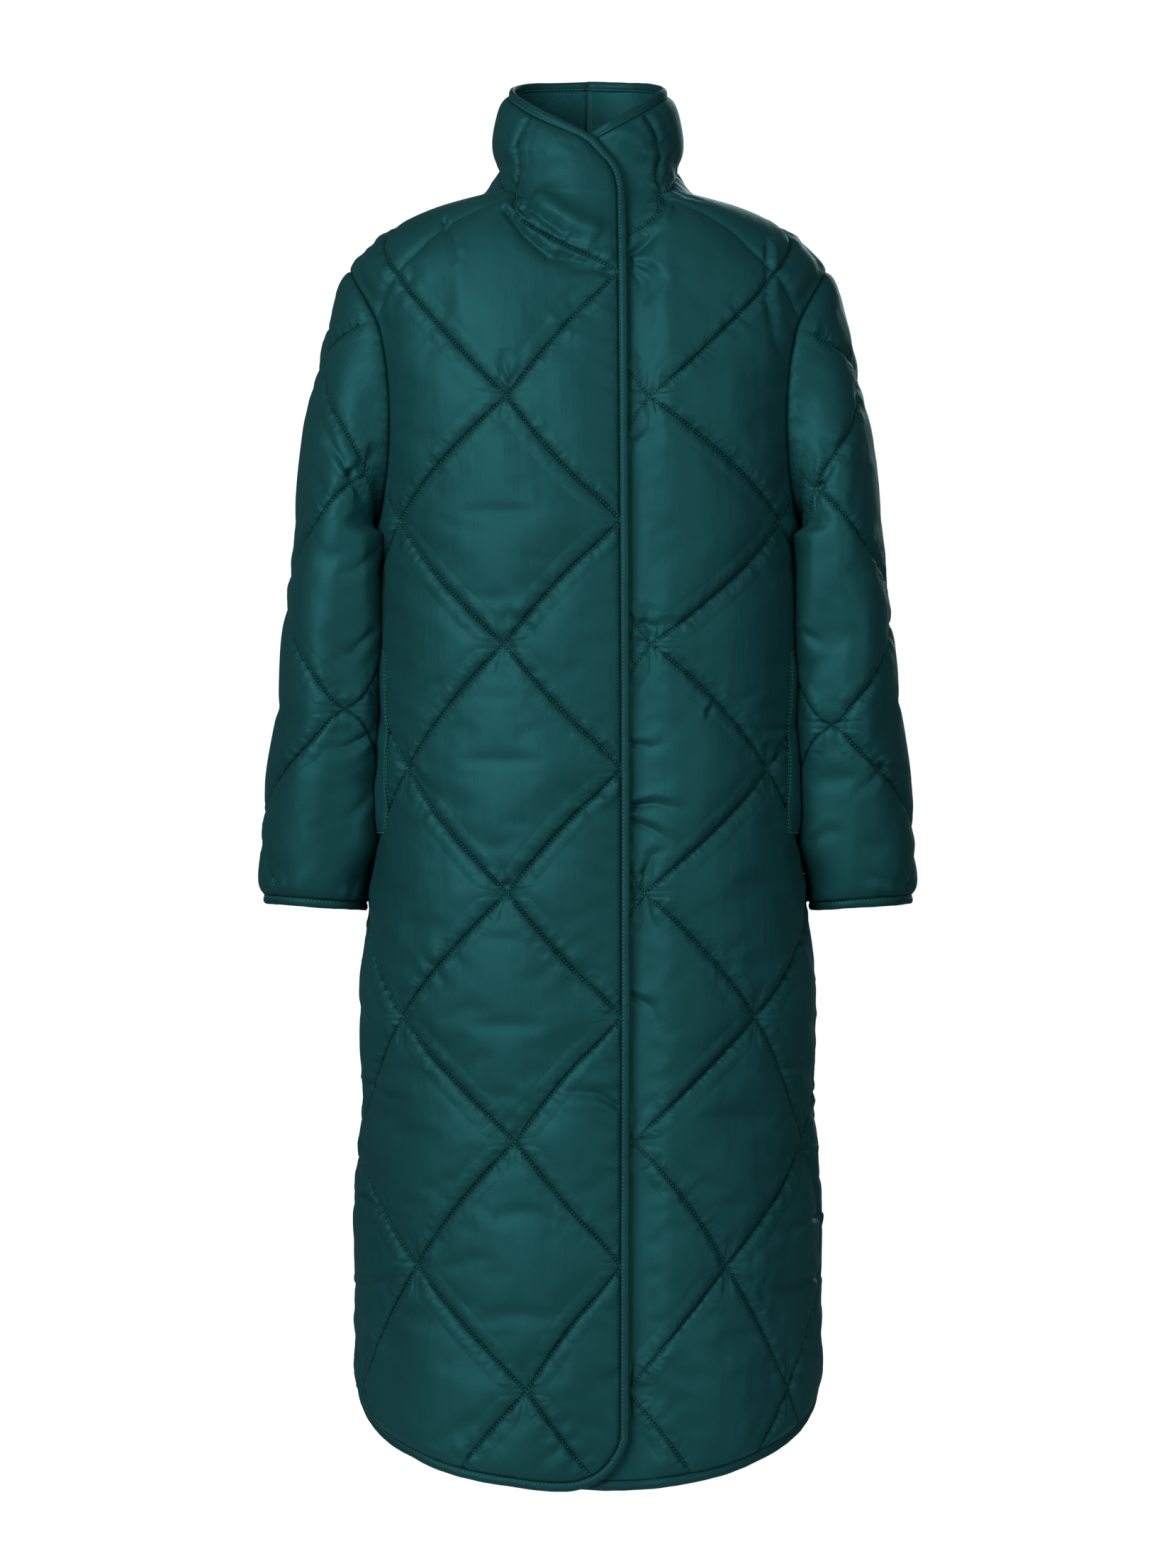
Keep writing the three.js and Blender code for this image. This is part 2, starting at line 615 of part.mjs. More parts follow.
function cuffBinding(grid) {
  const way = new THREE.Vector3(0, 0, -1);
  return bindingGeometry(grid[grid.length - 1], way, { closed: true });
}

// ---- Pocket welts -----------------------------------------------------------------------------------
// A padded welt over a pocket mouth, laid on the front's own points beside the side seam.
function weltGeometry(frontPoints) {
  const sideIndex = 2 * CELLS_PER_COLUMN + SIDE_STEPS.length;
  const start = sideIndex - WELT_THICKNESS.length + 1;
  const rows = frontPoints.filter((row) => row[0].z <= WELT_TOP + 6 && row[0].z >= WELT_BOTTOM);
  const grid = rows.map((row, j) => row.slice(start, sideIndex + 1).map((point, i) => {
    const way = point.outer.clone().sub(point.inner).normalize();
    const isEnd = j === 0 || j === rows.length - 1;
    const thickness = isEnd ? WELT_THICKNESS[0] : WELT_THICKNESS[i];
    const inner = point.outer.clone().addScaledVector(way, SEAM_GAP);
    const outer = inner.clone().addScaledVector(way, thickness);
    return { inner, outer, wall: point.wall };
  }));
  return wallGeometry(grid);
}

// ---- The coat -------------------------------------------------------------------------------------
const RIGHT = -1;
const LEFT = 1;
const RIGHT_SLEEVE_NODES = -255;   // height of the upper front corner of each sleeve's diamonds
const LEFT_SLEEVE_NODES = -270;

const coat = new THREE.Group();
const shell = new THREE.MeshStandardMaterial({ color: SHELL_COLOUR, roughness: 0.48, metalness: 0 });
const trim = new THREE.MeshStandardMaterial({ color: BINDING_COLOUR, roughness: 0.5, metalness: 0 });

function add(name, geometry, material) {
  const mesh = new THREE.Mesh(geometry, material.clone());
  mesh.name = name;
  coat.add(mesh);
}

const frontRight = frontGrid('over', RIGHT);
const frontLeft = frontGrid('under', LEFT);
const back = backGrid();
const sleeveRight = mirrored(sleeveGrid(RIGHT_SLEEVE_NODES));
const sleeveLeft = sleeveGrid(LEFT_SLEEVE_NODES);

add('front_right', wallGeometry(frontRight), shell);
add('front_left', wallGeometry(frontLeft), shell);
add('back', wallGeometry(back), shell);
add('sleeve_right', wallGeometry(sleeveRight, true), shell);
add('sleeve_left', wallGeometry(sleeveLeft, true), shell);
add('pocket_welt_right', weltGeometry(frontRight), shell);
add('pocket_welt_left', weltGeometry(frontLeft), shell);
add('edge_binding_right', frontBinding(frontRight, RIGHT), trim);
add('edge_binding_left', frontBinding(frontLeft, LEFT), trim);
add('hem_binding_back', backBinding(back), trim);
add('cuff_binding_right', cuffBinding(sleeveRight), trim);
add('cuff_binding_left', cuffBinding(sleeveLeft), trim);

export default coat;
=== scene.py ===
"""A long quilted satin coat with a funnel collar, filled out as if worn by nobody.

Metres, +Z up, the front towards -Y and the wearer's right hand towards -X. The origin is
the middle of the neck, level with the tops of the shoulder seams. Turns are degrees round
the body from the middle of the front, or of the back for the back panel.
"""

import logging
import math
from bisect import bisect_right
from collections.abc import Callable, Sequence
from dataclasses import dataclass, field
from enum import Enum
from functools import partial

import bmesh
import bpy
import numpy as np
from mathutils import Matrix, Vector, noise
from mathutils.bvhtree import BVHTree
from mathutils.kdtree import KDTree


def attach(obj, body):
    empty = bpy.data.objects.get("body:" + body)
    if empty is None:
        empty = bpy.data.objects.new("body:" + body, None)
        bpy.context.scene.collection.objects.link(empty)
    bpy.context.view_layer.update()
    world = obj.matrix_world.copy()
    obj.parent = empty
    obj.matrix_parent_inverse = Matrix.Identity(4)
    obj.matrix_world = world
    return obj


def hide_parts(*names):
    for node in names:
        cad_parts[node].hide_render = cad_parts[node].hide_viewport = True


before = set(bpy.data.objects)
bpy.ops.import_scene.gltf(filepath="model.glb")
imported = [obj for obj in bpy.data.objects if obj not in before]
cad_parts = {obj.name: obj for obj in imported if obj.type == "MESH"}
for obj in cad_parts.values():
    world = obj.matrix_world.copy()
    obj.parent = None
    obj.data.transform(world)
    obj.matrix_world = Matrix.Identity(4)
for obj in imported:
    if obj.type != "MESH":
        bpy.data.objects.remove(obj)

BODY = "root"
MM = 0.001
SNAP = 0.35  # share of a cell within which a grid point is drawn on to an edge
MERGE = 0.02 * MM  # points closer than this are one
SEWN_REACH = 20.0  # how far from a stitch or an edge the satin shows it, in shape and in painted shade, in millimetres
ON_LINE = 0.5  # least value of "line" at a point that is sewn down
SHORTEST_LINE = 3  # a quilting line with no more points than this is a scrap
Places = dict[bmesh.types.BMVert, tuple[int, int]]  # column and row of each point of a grid
log = logging.getLogger("coat")


class Hand(Enum):
    """The wearer's side that a piece belongs to, by the sign of its x."""

    RIGHT = -1
    LEFT = 1


class Slot(Enum):
    """The material slots."""

    SHELL = "shell"
    BINDING = "binding"


# ---- Curves through short tables -----------------------------------------------------------


class Curve:
    """A smooth curve through (place, value) knots, flat past either end."""

    def __init__(self, *knots: tuple[float, float]) -> None:
        """Sort the knots and work out the slope at each.

        Args:
            knots: Pairs of a place and the value there, in millimetres or degrees.
        """
        self.places = [place for place, _ in sorted(knots)]
        self.values = [value for _, value in sorted(knots)]
        last = len(self.places) - 1
        self.slopes = [self._slope(max(n - 1, 0), min(n + 1, last)) for n in range(last + 1)]

    def _slope(self, before: int, after: int) -> float:
        """Slope of the straight line between two knots."""
        rise = self.values[after] - self.values[before]
        return rise / (self.places[after] - self.places[before])

    def __call__(self, place: float) -> float:
        """Value of the curve at a place."""
        if place <= self.places[0]:
            return self.values[0]
        if place >= self.places[-1]:
            return self.values[-1]
        n = bisect_right(self.places, place) - 1
        span = self.places[n + 1] - self.places[n]
        s = (place - self.places[n]) / span
        start = self.slopes[n] * span
        end = self.slopes[n + 1] * span
        return (
            self.values[n] * (2 * s**3 - 3 * s**2 + 1)
            + start * (s**3 - 2 * s**2 + s)
            + self.values[n + 1] * (3 * s**2 - 2 * s**3)
            + end * (s**3 - s**2)
        )


def curves(rows: Sequence[tuple[float, ...]], columns: int) -> list[Curve]:
    """One curve for each value column of a table whose first column is the place.

    Args:
        rows: The table's rows.
        columns: How many value columns follow the place.

    Returns:
        The curves, in the order of the columns.
    """
    return [Curve(*((row[0], row[n + 1]) for row in rows)) for n in range(columns)]


def signed_power(value: float, power: float) -> float:
    """A power that keeps its base's sign."""
    return math.copysign(abs(value) ** power, value)


def mix(start: float, end: float, share: float) -> float:
    """The value a share of the way from start to end."""
    return start + (end - start) * share


def ease(value: float, low: float, high: float) -> float:
    """Smooth step from 0 at low to 1 at high."""
    s = min(1.0, max(0.0, (value - low) / (high - low)))
    return s * s * (3 - 2 * s)


# ---- Form of the body ------------------------------------------------------------------------


@dataclass(frozen=True)
class BodyForm:
    """The plain inside of the coat's body, in millimetres, as its solids have it."""

    roundness: float = 2.2
    armhole_top: float = -71.0
    armhole_bottom: float = -301.5
    armhole_half_depth: float = 62.0
    # height, half width, front depth, back depth
    rings: tuple[tuple[float, ...], ...] = (
        (104, 69, 57, 61),
        (78, 76, 64, 63),
        (52, 80, 72, 65),
        (26, 77, 79, 68),
        (0, 94, 85, 74),
        (-18, 148, 91, 82),
        (-36, 185, 98, 92),
        (-53, 202, 104, 101),
        (-71, 213, 109, 108),
        (-130, 207, 124, 121),
        (-200, 199, 135, 128),
        (-301, 192, 143, 130),
        (-420, 190, 146, 129),
        (-530, 191, 148, 134),
        (-640, 196, 150, 140),
        (-740, 205, 153, 146),
        (-850, 204, 156, 150),
        (-940, 211, 158, 153),
        (-1020, 210, 160, 156),
        (-1200, 213, 163, 160),
    )
    half_width: Curve = field(init=False)
    front: Curve = field(init=False)
    back: Curve = field(init=False)

    def __post_init__(self) -> None:
        """Turn the rings' columns into curves."""
        for name, curve in zip(("half_width", "front", "back"), curves(self.rings, 3)):
            object.__setattr__(self, name, curve)

    def point(self, turn: float, z: float) -> Vector:
        """Point of the plain inside at a turn from the middle of the front and a height."""
        angle = math.radians(turn)
        depth = self.front(z) if math.cos(angle) > 0 else self.back(z)
        power = 2 / self.roundness
        x = self.half_width(z) * signed_power(math.sin(angle), power)
        return Vector((x, -depth * signed_power(math.cos(angle), power), z))

    def normal(self, turn: float, z: float) -> Vector:
        """Way out of the body at a turn and a height."""
        around = self.point(turn + 1, z) - self.point(turn - 1, z)
        down = self.point(turn, z - 3) - self.point(turn, z + 3)
        return down.cross(around).normalized()

    def turn_at(self, distance: float, z: float) -> float:
        """Turn of the point that lies a distance to the side of the middle."""
        share = signed_power(distance / self.half_width(z), self.roundness / 2)
        return math.degrees(math.asin(max(-1.0, min(1.0, share))))

    def side_turn(self, z: float, is_back: bool) -> float:
        """Turn at which a panel ends, at its side seam, shoulder seam or armhole."""
        if z >= self.armhole_top or z <= self.armhole_bottom:
            return 90.0
        height = self.armhole_top - self.armhole_bottom
        share = abs(2 * (self.armhole_top - z) / height - 1)
        reach = self.armhole_half_depth
        reach *= (1 - share**self.roundness) ** (1 / self.roundness)
        depth = self.back(z) if is_back else self.front(z)
        return math.degrees(math.acos((reach / depth) ** (self.roundness / 2)))

    def armhole_height(self, turn: float, z: float, is_back: bool) -> float:
        """Height of the armhole seam at a turn, near its top or its bottom."""
        centre = (self.armhole_top + self.armhole_bottom) / 2
        half = (self.armhole_top - self.armhole_bottom) / 2
        side = 1 if z > centre else -1
        for _ in range(3):
            depth = self.back(z) if is_back else self.front(z)
            reach = depth * math.cos(math.radians(min(turn, 90))) ** (2 / self.roundness)
            share = min(1.0, reach / self.armhole_half_depth)
            z = centre + side * half * (1 - share**self.roundness) ** (1 / self.roundness)
        return z

    def armhole_way(self, turn: float, z: float) -> Vector:
        """Way through the wall at the armhole seam, between the body's and the sleeve's."""
        centre = (self.armhole_top + self.armhole_bottom) / 2
        up = (z - centre) / ((self.armhole_top - self.armhole_bottom) / 2)
        radial = Vector((0, self.point(turn, z).y / self.armhole_half_depth, up))
        outward = mix(0.6, 2.2, ease(up, 0.5, 1.0))
        return (self.normal(turn, z) * outward + radial.normalized()).normalized()


FORM = BodyForm()


# ---- Cut of the fronts, the back and the sleeves, in millimetres and degrees -------------------


@dataclass(frozen=True)
class Quilting:
    """Where the corners of the diamonds lie, and how flat the cloth is sewn down there."""

    row_height: float = 115.25
    sleeve_row: float = 110.5
    seam_wall: float = 3.0
    seam_gap: float = 0.02
    armhole_wall: float = 8.5
    shoulder_wall: float = 11.0
    side_wall: float = 5.0

    def wall_at_armhole(self, z: float) -> float:
        """Thickness of the wall along the armhole seam, which is padded at the shoulder."""
        return mix(self.armhole_wall, self.shoulder_wall, ease(z, -130, -75))


QUILT = Quilting()

# row of corners, turns of the first and second column of corners
OVER_LATTICE = (
    (-1, 42, 77),
    (0, 21, 54),
    (2, 22, 62),
    (4, 21, 58),
    (6, 18.5, 54),
    (8, 15, 46),
    (10, 12, 42),
)
UNDER_LATTICE = (
    (-1, 42, 77),
    (0, 16.5, 52),
    (2, 16.6, 64),
    (4, 15, 57),
    (6, 12, 46),
    (8, 9, 35),
    (10, 8, 32),
)
BACK_LATTICE = ((-1, 42, 72), (0, 28, 58), (10, 28, 62))

# height, finished outline of the over front past the middle of the front
OVER_REACH = Curve(
    (96, -80), (87, -60), (74, -38), (60, -4), (44, 16), (20, 34), (0, 37), (-600, 41), (-1200, 40)
)
# height, how far past the middle the over front and the under front reach
FREE_EDGE = (
    (60, -8, 10),
    (44, 6, 22),
    (32, 18, 29),
    (20, 24, 33),
    (0, 27, 36),
    (-80, 28.5, 36),
    (-600, 31, 36),
    (-1200, 30, 36),
)
# turn, top of the over front's collar and of the under front's
COLLAR_TOP = (
    (-24, 36, 36),
    (-10, 42, 48),
    (-4, 47, 52),
    (6, 58, 58),
    (34, 74, 77),
    (60, 87, 90),
    (90, 97, 97),
    (135, 104, 104),
    (180, 106, 106),
)
# turn, hem of the over front, the under front and the back
HEM = (
    (-12, -1130, -1188, -1182),
    (-7.2, -1148, -1189, -1182),
    (-5, -1168, -1190, -1182),
    (-1, -1186, -1191, -1182),
    (4, -1193, -1192, -1182),
    (15, -1190, -1190, -1180),
    (33, -1179, -1179, -1171),
    (48, -1163, -1163, -1157),
    (61, -1147, -1147, -1143),
    (78, -1121, -1121, -1120),
    (90, -1100, -1100, -1100),
)
# height on the collar, turn of the quilting line that runs up it from the side of the neck
COLLAR_LINE = Curve((0, 42), (9, 48), (39, 51), (60, 45.5), (80, 38))
# turn, height of the quilting line that climbs round the back of the collar
COLLAR_ARM = Curve((42, 0), (60, 7), (90, 26), (120, 52), (150, 78), (168, 100))

# share of the length, outermost x and z, innermost x and z, half depth
SLEEVE_RINGS = (
    (0.0, 213, -73, 200, -301, 62),
    (0.05, 227, -96, 217, -299, 65),
    (0.1, 238, -127, 217, -316, 70),
    (0.2, 249, -184, 215, -354, 76),
    (0.3, 256, -242, 214, -391, 78),
    (0.4, 262, -300, 213, -430, 77),
    (0.5, 271, -358, 213, -468, 75),
    (0.6, 277, -416, 213, -506, 73),
    (0.7, 281, -474, 213, -544, 70),
    (0.8, 290, -532, 213, -582, 67),
    (0.9, 296, -590, 213, -620, 64),
    (1.0, 300, -650, 213, -656, 60),
)
# spoke of sixteen, turn round the sleeve from its outermost point by the front
SLEEVE_TURN = Curve((-3, -82), (1, -10), (5, 108), (9, 196), (13, 278), (17, 350))


# ---- Panels ------------------------------------------------------------------------------------


def numbered_grid(bm: bmesh.types.BMesh, across: int, down: int) -> Places:
    """Make a grid of cells in an empty mesh.

    Args:
        bm: The mesh.
        across: How many cells lie side by side.
        down: How many rows of them there are.

    Returns:
        The column and the row of each of its points.
    """
    bmesh.ops.create_grid(bm, x_segments=across, y_segments=down, size=1.0)
    return {
        vert: (round((vert.co.x + 1) / 2 * across), round((1 - vert.co.y) / 2 * down))
        for vert in bm.verts
    }


def lay_flat(
    bm: bmesh.types.BMesh, places: Places, flat: Callable[[int, int], Sequence[float]]
) -> None:
    """Fill a grid's UV map "cloth" with the places of its points on the flat cloth.

    Args:
        bm: The grid.
        places: The column and the row of each of its points.
        flat: Gives the place on the flat cloth, in metres, for a column and a row.
    """
    uv = bm.loops.layers.uv["cloth"]
    for face in bm.faces:
        for loop in face.loops:
            loop[uv].uv = flat(*places[loop.vert])


def made_of(made: dict[str, list], kind: type) -> list:
    """The points, the edges or the faces among what an operator made."""
    return [item for item in made["geom"] if isinstance(item, kind)]


@dataclass
class Spot:
    """One point of a panel's grid.

    Attributes:
        inner: Its place on the plain inside.
        way: Way out through the wall.
        wall: Thickness of the wall where it is sewn flat.
        give: Share of the filling that lifts the shell there.
        on_line: Whether a quilting line runs through it.
    """

    inner: Vector
    way: Vector
    wall: float = QUILT.seam_wall
    give: float = 1.0
    on_line: bool = False

    @property
    def flat(self) -> Vector:
        """Place of the shell where it is sewn flat."""
        return self.inner + self.way * self.wall


@dataclass(kw_only=True)
class Panel:
    """A quilted panel: a satin shell, puffed up between sewn lines, over a plain lining.

    A grid of cells follows the diamonds, so that each quilting line runs from corner to
    corner of them. Cells past an edge of the panel are drawn in to that edge and merged.
    """

    name: str = field(init=False)
    node: str = field(init=False)
    columns: int = field(init=False)
    rows: int = field(init=False)
    cells: int = 16
    first_rise: float = 4.5
    first_reach: float = 7.0

    def spot(self, i: int, j: int) -> Spot:
        """Point of the grid in a column and a row of it."""
        raise NotImplementedError

    def has_cell(self, i: int, j: int) -> bool:
        """Whether the panel has the cell past a column and a row of the grid."""
        return True

    def drawn_lines(self) -> list[list[Spot]]:
        """Points along each quilting line, close together, with scraps at the edges."""
        raise NotImplementedError

    def quilting_lines(self) -> list[list[Spot]]:
        """Points along each quilting line, without the scraps."""
        return [line for line in self.drawn_lines() if len(line) > SHORTEST_LINE]

    def on_lattice(self, across: int, down: int) -> bool:
        """Whether a line runs through a point, counted in cells from a diamond's corner."""
        return any((across + way * down) % (2 * self.cells) == 0 for way in (1, -1))

    def start_sheet(self) -> bpy.types.Object:
        """Make the shell as an open sheet, a little puffed, with its attributes.

        Returns:
            The sheet, whose vertex group "held" is sewn down and "filled" is lifted.
        """
        bm = bmesh.new()
        inner = bm.verts.layers.float_vector.new("inner")
        way = bm.verts.layers.float_vector.new("way")
        give = bm.verts.layers.float.new("give")
        line = bm.verts.layers.float.new("line")
        wall = bm.verts.layers.float.new("wall")
        bm.loops.layers.uv.new("cloth")
        places = numbered_grid(bm, self.columns, self.rows)
        grid = {place: self.spot(*place) for place in places.values()}
        cloth = self.unrolled(grid)
        lay_flat(bm, places, lambda i, j: cloth[i, j])
        gone = [face for face in bm.faces if not self._keeps(face, places)]
        bmesh.ops.delete(bm, geom=gone, context="FACES")
        for vert in bm.verts:
            spot = grid[places[vert]]
            vert.co = spot.flat * MM
            vert[inner] = spot.inner * MM
            vert[way] = spot.way
            vert[give] = spot.give
            vert[wall] = spot.wall * MM
            vert[line] = 1.0 if spot.on_line else 0.0
        bmesh.ops.remove_doubles(bm, verts=bm.verts, dist=MERGE)
        loose = [vert for vert in bm.verts if not vert.link_faces]
        bmesh.ops.delete(bm, geom=loose, context="VERTS")
        sewn = [vert for vert in bm.verts if vert[line] > ON_LINE]
        bmesh.ops.connect_verts(bm, verts=sewn)
        if sum(face.normal.dot(face.verts[0][way]) for face in bm.faces) < 0:
            bmesh.ops.reverse_faces(bm, faces=bm.faces)
        return self._with_groups(bm, line, give)

    def _keeps(self, face: bmesh.types.BMFace, places: Places) -> bool:
        """Whether a face of the first grid belongs to the panel."""
        i = min(places[vert][0] for vert in face.verts)
        j = min(places[vert][1] for vert in face.verts)
        return self.has_cell(i, j)

    def unrolled(self, grid: dict[tuple[int, int], Spot]) -> dict[tuple[int, int], Vector]:
        """Place of each grid point on the flat cloth, in metres across and down."""
        cloth = {}
        for j in range(self.rows + 1):
            across = 0.0
            for i in range(self.columns + 1):
                if i > 0:
                    across += (grid[i, j].inner - grid[i - 1, j].inner).length * MM
                down = 0.0
                if j > 0:
                    step = (grid[i, j].inner - grid[i, j - 1].inner).length * MM
                    down = cloth[i, j - 1].y - step
                cloth[i, j] = Vector((across, down))
        return cloth

    def _with_groups(
        self, bm: bmesh.types.BMesh, line: bmesh.types.BMLayerItem, give: bmesh.types.BMLayerItem
    ) -> bpy.types.Object:
        """Turn the sheet into an object with its groups of held and filled points."""
        crease = bm.edges.layers.float.get("crease_edge") or bm.edges.layers.float.new("crease_edge")
        for edge in bm.edges:
            is_sewn = all(vert[line] > ON_LINE for vert in edge.verts)
            edge[crease] = 1.0 if is_sewn else 0.0
        bm.verts.index_update()
        held = [v.index for v in bm.verts if v[line] > ON_LINE or v.is_boundary or v[give] < 0.3]
        fill = [(v.index, v[give]) for v in bm.verts]
        way = bm.verts.layers.float_vector["way"]
        stitches = tree_of([spot.flat * MM for run in self.quilting_lines() for spot in run])
        rim = tree_of([vert.co.copy() for vert in bm.verts if vert.is_boundary])
        for vert in bm.verts:
            near = min(stitches.find(vert.co)[2], rim.find(vert.co)[2]) / MM
            if not (vert[line] > ON_LINE or vert.is_boundary):
                rise = self.first_rise * (1 - math.exp(-near / self.first_reach))
                vert.co += vert[way] * (rise * vert[give] * MM)
        sheet = new_piece(self.name, bm)
        sheet.vertex_groups.new(name="held").add(held, 1.0, "REPLACE")
        filled = sheet.vertex_groups.new(name="filled")
        for index, share in fill:
            filled.add([index], share, "REPLACE")
        return sheet


def in_scene(name: str, data: bpy.types.ID) -> bpy.types.Object:
    """Put a mesh, lamp or camera in the scene as an object."""
    item = bpy.data.objects.new(name, data)
    bpy.context.collection.objects.link(item)
    return item


def new_piece(name: str, bm: bmesh.types.BMesh) -> bpy.types.Object:
    """Make a piece from a finished mesh, and free the mesh.

    Args:
        name: The piece's name.
        bm: Its mesh, in metres.
    """
    mesh = bpy.data.meshes.new(name)
    bm.to_mesh(mesh)
    bm.free()
    return in_scene(name, mesh)


def tree_of(places: Sequence[Vector]) -> KDTree:
    """Search tree of places."""
    tree = KDTree(len(places))
    for n, place in enumerate(places):
        tree.insert(place, n)
    tree.balance()
    return tree


def at_side(around: float, z: float, inside: float, way: Vector) -> tuple[Vector, float]:
    """Way through a front's or back's wall and its sewn thickness, near its side.

    Args:
        around: Turn round the body.
        z: Height.
        inside: How many degrees in from the panel's side the place is.
        way: Way out of the cloth there.
    """
    blend = ease(inside, 0, 9)
    top = FORM.armhole_top
    if top >= z >= FORM.armhole_bottom:
        way = FORM.armhole_way(around, z).lerp(way, blend).normalized()
        return way, mix(QUILT.wall_at_armhole(z), QUILT.seam_wall, blend)
    below = ease(FORM.armhole_bottom - z, 0, 60) if z < top else ease(z - top, 0, 45)
    thick = mix(QUILT.wall_at_armhole(z), QUILT.side_wall, below)
    return way, mix(thick, QUILT.seam_wall, blend)


def on_armhole(turn: float, z: float, cell: float, is_back: bool) -> float | None:
    """Height of the armhole seam over a grid point in the row at its top or bottom.

    Args:
        turn: Turn from the middle of the front or back.
        z: Height of the row.
        cell: Height of a cell.
        is_back: Whether the point is on the back.

    Returns:
        The height, or None where the row doesn't end on the seam there.
    """
    for end, step in ((FORM.armhole_top, -cell), (FORM.armhole_bottom, cell)):
        if abs(z - end) < 0.01 and turn > FORM.side_turn(end + step, is_back):
            return FORM.armhole_height(turn, z, is_back)
    return None


def fill_at(z: float) -> float:
    """Share of the filling at a height on the body, less at the shoulder."""
    return mix(0.75, 1.0, ease(-z, 0, 110))


def side_give(z: float, inside: float) -> float:
    """Share of the filling near a panel's side, least at the armhole and the shoulder."""
    is_armhole = FORM.armhole_top + 30 > z > FORM.armhole_bottom
    return mix(0.3 if is_armhole else 0.75, 1, ease(inside, 0, 16))


@dataclass(kw_only=True)
class BodyPanel(Panel):
    """A front or the back, whose columns run out to its side over the rows of diamonds."""

    is_back: bool = False
    first: Curve = field(init=False)
    second: Curve = field(init=False)
    hem: Curve = field(init=False)
    hems: list[float] = field(init=False)
    usual_hem: float = -1150.0
    hem_rounds: int = 12
    line_step: float = 1 / 64
    line_steps: int = 320

    def height(self, row: float) -> float:
        """Height of a row of diamond corners."""
        if row < 0:
            return FORM.armhole_top * (1 + row)
        return FORM.armhole_top - row * QUILT.row_height

    def row(self, z: float) -> float:
        """Row of diamond corners at a height."""
        if z > FORM.armhole_top:
            return z / FORM.armhole_top - 1
        return (FORM.armhole_top - z) / QUILT.row_height

    def edge_turn(self, z: float) -> float:
        """Turn at which the columns start, at a height."""
        return 0.0

    def turn(self, column: float, z: float) -> float:
        """Turn of a place among the columns of diamonds, at a height."""
        row = self.row(z)
        side = FORM.side_turn(z, self.is_back)
        first = self.first(row)
        second = min(self.second(row), side - 3)
        if column < 1:
            return mix(self.edge_turn(z), first, column)
        return min(side, mix(first, second, column - 1))

    def hem_heights(self, columns: int) -> list[float]:
        """Height of the hem below each column of the grid."""
        heights = []
        for n in range(columns + 1):
            z = self.usual_hem
            for _ in range(self.hem_rounds):
                z = self.hem(self.turn(n / self.cells, z))
            heights.append(z)
        return heights

    def place(self, n: int, row: float) -> tuple[float, float]:
        """Turn and height of a grid point, drawn in to the hem and the armhole.

        Args:
            n: Its column, counted from the free edge or the middle of the back.
            row: Its row among the diamonds.

        Returns:
            Its turn and its height.
        """
        cell = QUILT.row_height / self.cells
        z = max(self.height(row), self.hems[n])
        if z - self.hems[n] < SNAP * cell:
            z = self.hems[n]
        turn = self.turn(n / self.cells, z)
        return turn, on_armhole(turn, z, cell, self.is_back) or z

    def ends_at_armhole(self, n: int, row: int) -> bool:
        """Whether a row of the grid at the armhole's top or bottom has ended by a column."""
        z = self.height(row)
        turn = self.turn(n / self.cells, z)
        return on_armhole(turn, z, QUILT.row_height / self.cells, self.is_back) is not None

    def body_line(
        self, start: float, fall: int, spot_at: Callable[[float, float], Spot]
    ) -> list[Spot]:
        """One quilting line, from the free edge or the middle of the back out to the side.

        Args:
            start: Row of diamond corners where it starts.
            fall: 1 if it runs down and out, -1 if it runs up and out.
            spot_at: Gives the spot at a turn and a height.

        Returns:
            Points along the line.
        """
        line = []
        for n in range(self.line_steps):
            column = n * self.line_step
            row = start + fall * column
            if row < -1:
                break
            z = self.height(row)
            turn = self.turn(column, z)
            if turn >= FORM.side_turn(z, self.is_back):
                break
            if z >= self.hem(turn):
                line.append(spot_at(turn, z))
            elif fall > 0:
                break
        return line


